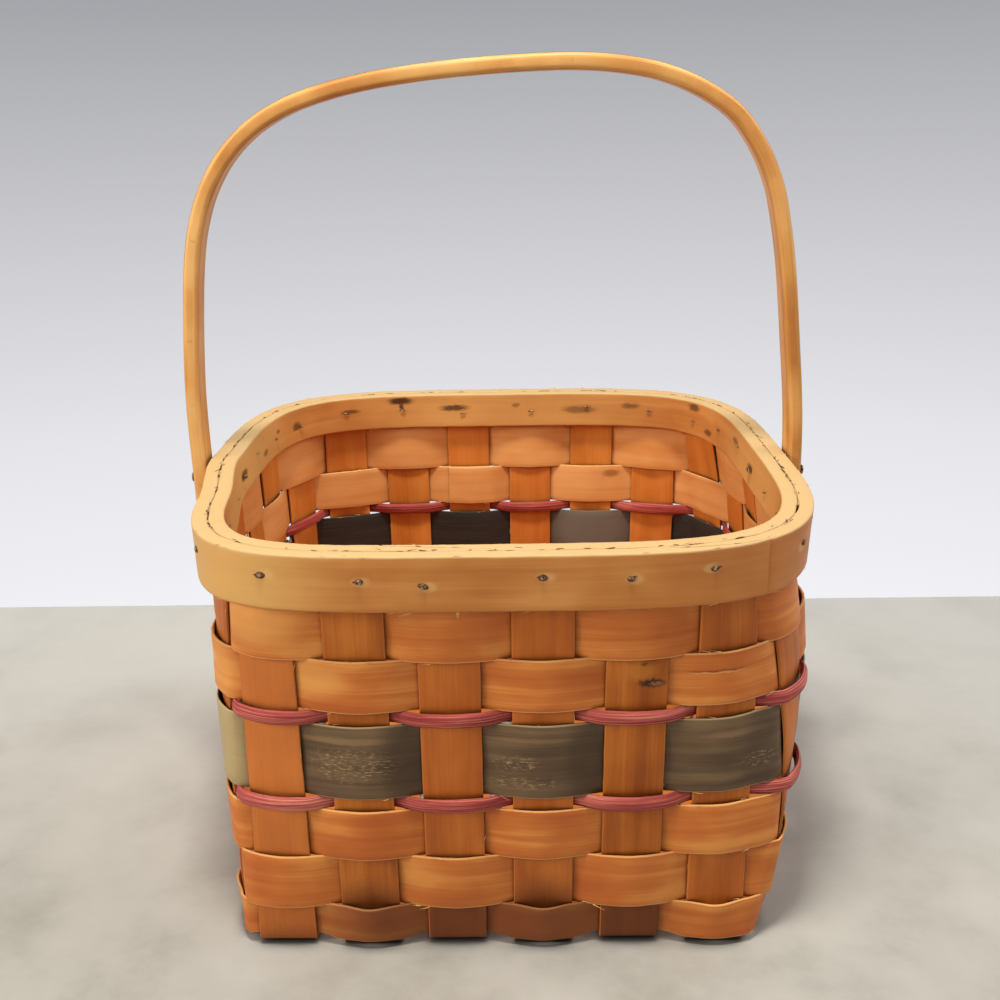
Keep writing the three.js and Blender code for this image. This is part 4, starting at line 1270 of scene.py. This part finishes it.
def plain_wood(name, dark, light):
    """Wood of pieces that are too small to show their grain."""
    return mottled(name, [(0.35, dark), (0.65, light)], scale=1400.0, detail=2.0, roughness=0.8)


HEAD_DEPTH = 0.7 * MM               # how deep a nail's head and its bent point are in its node
TAIL_DEPTH = 0.6 * MM
TACK_HEAD = 1.2, 1.0, 0.4           # half the lengths, widths and heights, in millimetres
TACK_TAIL = 1.8, 0.5, 0.4
PIVOT_HEAD = 2.5, 2.4, 0.8
PIVOT_TAIL = 3.0, 1.0, 0.7
NICK_COUNT = 110
PIT_DEPTH = 0.45 * MM               # how far in from a tack's head its torn wood lies


def oval_points(ovals):
    """Points for small ovals. Each has its place, the way it faces, its size and its turn."""
    places, ways, sizes, turns = zip(*ovals)
    return new_mesh("ovals", places, facing=ways, size=sizes, turn=turns)


def nail_ends(name):
    """The middle of a nail's head and of its bent point, found from its node, and its way out."""
    corners = np.array([v.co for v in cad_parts[name].data.vertices])
    nearest = np.argmin(np.linalg.norm(RIM.points - corners.mean(0)[:2], axis=1))
    way = np.array([*RIM.normals[nearest], 0.0])
    depth = corners @ way
    head = corners[depth > depth.max() - HEAD_DEPTH].mean(0)
    tail = corners[depth < depth.min() + TAIL_DEPTH].mean(0)
    return head, tail, way


def add_ovals(name, ovals, tree, material, nodes=()):
    piece = grow(add_object(name, oval_points(ovals)), tree, {"Finish": material})
    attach(piece, "basket")
    if nodes:
        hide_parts(*nodes)


def add_nails():
    """Heads outside, bent points inside, and the torn wood round each tack's head."""
    tree = nail_tree()
    steel = nail_steel()
    torn = plain_wood("torn_wood", colour(60, 32, 14), colour(120, 72, 34))
    chance = np.random.RandomState(5)
    groups = (
        ("rim_tacks_finish", "tack_", TACK_HEAD, TACK_TAIL),
        ("pivot_nails_finish", "pivot_nail_", PIVOT_HEAD, PIVOT_TAIL),
    )
    pits = []
    for name, start, head_size, tail_size in groups:
        names = sorted(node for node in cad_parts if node.startswith(start))
        ovals = []
        for node in names:
            head, tail, way = nail_ends(node)
            level = math.atan2(way[0], -way[1])
            ovals.append((head, way, np.array(head_size) * MM, chance.uniform(0, 3)))
            ovals.append((tail, way, np.array(tail_size) * MM, level + chance.uniform(-0.3, 0.3)))
            if start == "tack_":
                sunk = head - way * PIT_DEPTH
                size = np.array([chance.uniform(1.5, 2.3), chance.uniform(1.1, 1.5), 0.32]) * MM
                pits.append((sunk, way, size, level + chance.uniform(-0.3, 0.3)))
                aside = np.array([-way[1], way[0], 0.0]) * chance.uniform(-1.6, 1.6) * MM
                size = np.array([chance.uniform(1.4, 2.6), chance.uniform(0.3, 0.5), 0.3]) * MM
                drop = np.array([0, 0, chance.uniform(-0.9, 0.9) * MM])
                pits.append((sunk + aside + drop, way, size, level + chance.uniform(-0.2, 0.2)))
        add_ovals(name, ovals, tree, steel, names)
    add_ovals("tack_pits_finish", pits, tree, torn)
    nicks = []
    for distance in chance.uniform(0, RIM.length, NICK_COUNT):
        point, normal = RIM.at(np.array([distance]))
        aside = chance.normal(0, 0.7) * MM
        place = (*(point[0] + normal[0] * aside), HEIGHT - 0.05 * MM)
        size = np.array([chance.uniform(0.8, 2.8), chance.uniform(0.18, 0.4), 0.14]) * MM
        turn = math.atan2(normal[0][0], -normal[0][1]) + chance.normal(0, 0.25)
        nicks.append((place, (0.0, 0.0, 1.0), size, turn))
    add_ovals("rim_nicks_finish", nicks, tree, torn)


# Fibres

def fibre_tree():
    """Sets a thin tapering fibre on each point, which starts there and bends a little on its way."""
    nodes, given = new_tree("loose_fibres", [("Bend", "Float"), ("Finish", "Material")])
    inputs = {"Vertices": 5, "Side Segments": 5, "Radius Top": 0.05, "Radius Bottom": 1.0, "Depth": 1.0}
    cone = nodes.add("GeometryNodeMeshCone", inputs).outputs["Mesh"]
    placed = set_on_points(nodes, given["Geometry"], cone)
    real = nodes.out("GeometryNodeRealizeInstances", {"Geometry": placed})
    inputs = {"Vector": nodes.out("GeometryNodeInputPosition"), "Scale": 160.0, "Detail": 1.0}
    drift = nodes.add("ShaderNodeTexNoise", inputs).outputs["Color"]
    drift = nodes.scaled(nodes.vector("SUBTRACT", drift, (0.5, 0.5, 0.5)), given["Bend"])
    bent = nodes.out("GeometryNodeSetPosition", {"Geometry": real, "Offset": drift})
    return finish_tree(nodes, bent, given["Finish"])


FIBRES_PER_SPLINT = 60
FIBRE_LEAST_HEIGHT = 6 * MM
FIBRE_BEND = 1.6 * MM
FIBRE_LENGTHS = 2.0, 6.5            # shortest and longest, in millimetres
FIBRE_WIDTHS = 0.12, 0.24
FIBRE_ROOT = 0.4 * MM               # how far back from a splint's edge a fibre begins


def add_fibres():
    """Loose fibres that stand off from the splints' long edges."""
    chance = np.random.RandomState(11)
    fibres = []
    for node, guide in guides.items():
        if node == "bail_handle" or "reed" in node:
            continue
        count = FIBRES_PER_SPLINT if "stake" not in node else FIBRES_PER_SPLINT // 4
        for place in chance.randint(2, len(guide.middle) - 2, count):
            side = chance.choice([-1, 1])
            across = guide.across[place]
            outward = guide.outward[place]
            face = chance.choice([-1, 1]) if "band" not in node else 1
            edge = guide.middle[place] + side * across + face * outward * guide.thickness[place] * 0.42
            if edge[2] < FIBRE_LEAST_HEIGHT:
                continue
            way = guide.forward[place] * chance.choice([-1, 1])
            way = way + outward * face * chance.uniform(0.02, 0.25)
            way = way + side * across / np.linalg.norm(across) * chance.uniform(-0.05, 0.3)
            way = way / np.linalg.norm(way)
            length = chance.uniform(*FIBRE_LENGTHS) * MM
            width = chance.uniform(*FIBRE_WIDTHS) * MM
            fibres.append((edge - way * FIBRE_ROOT, way, (width, width, length), 0.0))
    pale = plain_wood("loose_fibre", colour(206, 142, 74), colour(240, 196, 128))
    points = add_object("loose_fibres_finish", oval_points(fibres))
    piece = grow(points, fibre_tree(), {"Bend": FIBRE_BEND, "Finish": pale})
    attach(piece, "basket")


# Stage

def add_camera():
    data = bpy.data.cameras.new("camera")
    data.lens = CAMERA_LENS
    data.sensor_width = CAMERA_SENSOR
    camera = add_object("camera", data)
    turn = Matrix.Rotation(CAMERA_YAW, 4, "Z") @ Matrix.Rotation(CAMERA_PITCH, 4, "X")
    turn = turn @ Matrix.Rotation(CAMERA_ROLL, 4, "Y") @ Matrix.Rotation(math.pi / 2, 4, "X")
    camera.matrix_world = Matrix.Translation(CAMERA_PLACE) @ turn
    bpy.context.scene.camera = camera


FLOOR_BACK = 0.243
FLOOR_REACH = 2.5
FLOOR_THICKNESS = 20 * MM
CONTACT_REACH = 10 * MM             # how far the painted contact shadow under the basket reaches
LIT_POINT = Vector((0, 0, 0.12))    # what the lamps point at
BACKDROP_RANGE = -0.42, 0.12        # from its brightest to its darkest, as rises of the view


def add_floor():
    low = (-FLOOR_REACH, -FLOOR_REACH, -FLOOR_THICKNESS)
    high = (FLOOR_REACH, FLOOR_BACK, 0.0)
    corners = [(x, y, z) for x in (low[0], high[0]) for y in (low[1], high[1]) for z in (low[2], high[2])]
    faces = [(0, 1, 3, 2), (4, 6, 7, 5), (0, 4, 5, 1), (2, 3, 7, 6), (0, 2, 6, 4), (1, 5, 7, 3)]
    mesh = new_mesh("floor", corners, faces)
    floor = add_object("floor", mesh)
    finish = Finish("floor_finish")
    place = finish.add("ShaderNodeTexCoord").outputs["Object"]
    clouds = finish.noise(place, scale=11.0, detail=7.0, roughness=0.62)
    stops = [(0.32, colour(148, 144, 132)), (0.5, colour(168, 164, 153)), (0.68, colour(178, 174, 163))]
    finish.shade = finish.ramp(clouds, stops)
    # Painted light: the floor is painted lighter towards the back.
    painted_light_towards_back = finish.between(finish.parts(place)[1], -0.2, FLOOR_BACK, 0.0, 0.55)
    finish.cover(painted_light_towards_back, colour(208, 205, 197))
    # Painted contact shadow under the basket.
    finish.cover(finish.times(finish.crevices(CONTACT_REACH), 0.9), colour(24, 20, 20))
    finish.shader.inputs["Roughness"].default_value = 0.7
    mesh.materials.append(finish.coloured())


def add_lamp(name, place, size, power, shade):
    data = bpy.data.lights.new(name, "AREA")
    data.shape = "DISK"
    data.size = size
    data.energy = power
    data.color = shade
    lamp = add_object(name, data)
    lamp.location = place
    lamp.rotation_euler = (LIT_POINT - Vector(place)).to_track_quat("-Z", "Y").to_euler()


def add_world():
    """Soft even light, and for the camera a backdrop that darkens upwards."""
    world = bpy.data.worlds.new("studio")
    bpy.context.scene.world = world
    world.use_nodes = True
    nodes = Nodes(world.node_tree)
    nodes.tree.nodes.clear()
    way = nodes.parts(nodes.add("ShaderNodeTexCoord").outputs["Generated"])[2]
    stops = [
        (0.0, colour(244, 244, 249)), (0.3, colour(231, 231, 235)), (0.6, colour(204, 204, 208)),
        (1.0, colour(156, 157, 162)),
    ]
    backdrop = nodes.ramp(nodes.between(way, *BACKDROP_RANGE, kind="LINEAR"), stops)
    seen = nodes.add("ShaderNodeBackground", {"Color": backdrop, "Strength": 1.0})
    light = nodes.add("ShaderNodeBackground", {"Color": colour(238, 241, 248), "Strength": 0.5})
    path = nodes.add("ShaderNodeLightPath").outputs
    shown = nodes.math("MAXIMUM", path["Is Camera Ray"], path["Is Glossy Ray"])
    both = nodes.add("ShaderNodeMixShader", {0: shown, 1: light.outputs[0], 2: seen.outputs[0]})
    nodes.add("ShaderNodeOutputWorld", {"Surface": both.outputs[0]})


def add_stage():
    add_floor()
    add_world()
    add_lamp("key_lamp", (-1.3, -0.72, 0.8), size=0.7, power=12.0, shade=(1.0, 0.95, 0.88))
    add_lamp("side_lamp", (1.2, 0.1, 1.0), size=1.0, power=7.5, shade=(0.97, 0.98, 1.0))
    add_lamp("top_lamp", (-0.05, -0.25, 1.2), size=0.22, power=11.0, shade=(1.0, 0.97, 0.92))


add_camera()
add_weavers()
add_stakes()
add_rim()
add_handle()
add_nails()
add_fibres()
add_stage()
for helper in helpers:
    bpy.data.objects.remove(helper)
bpy.context.scene.view_settings.view_transform = "Standard"
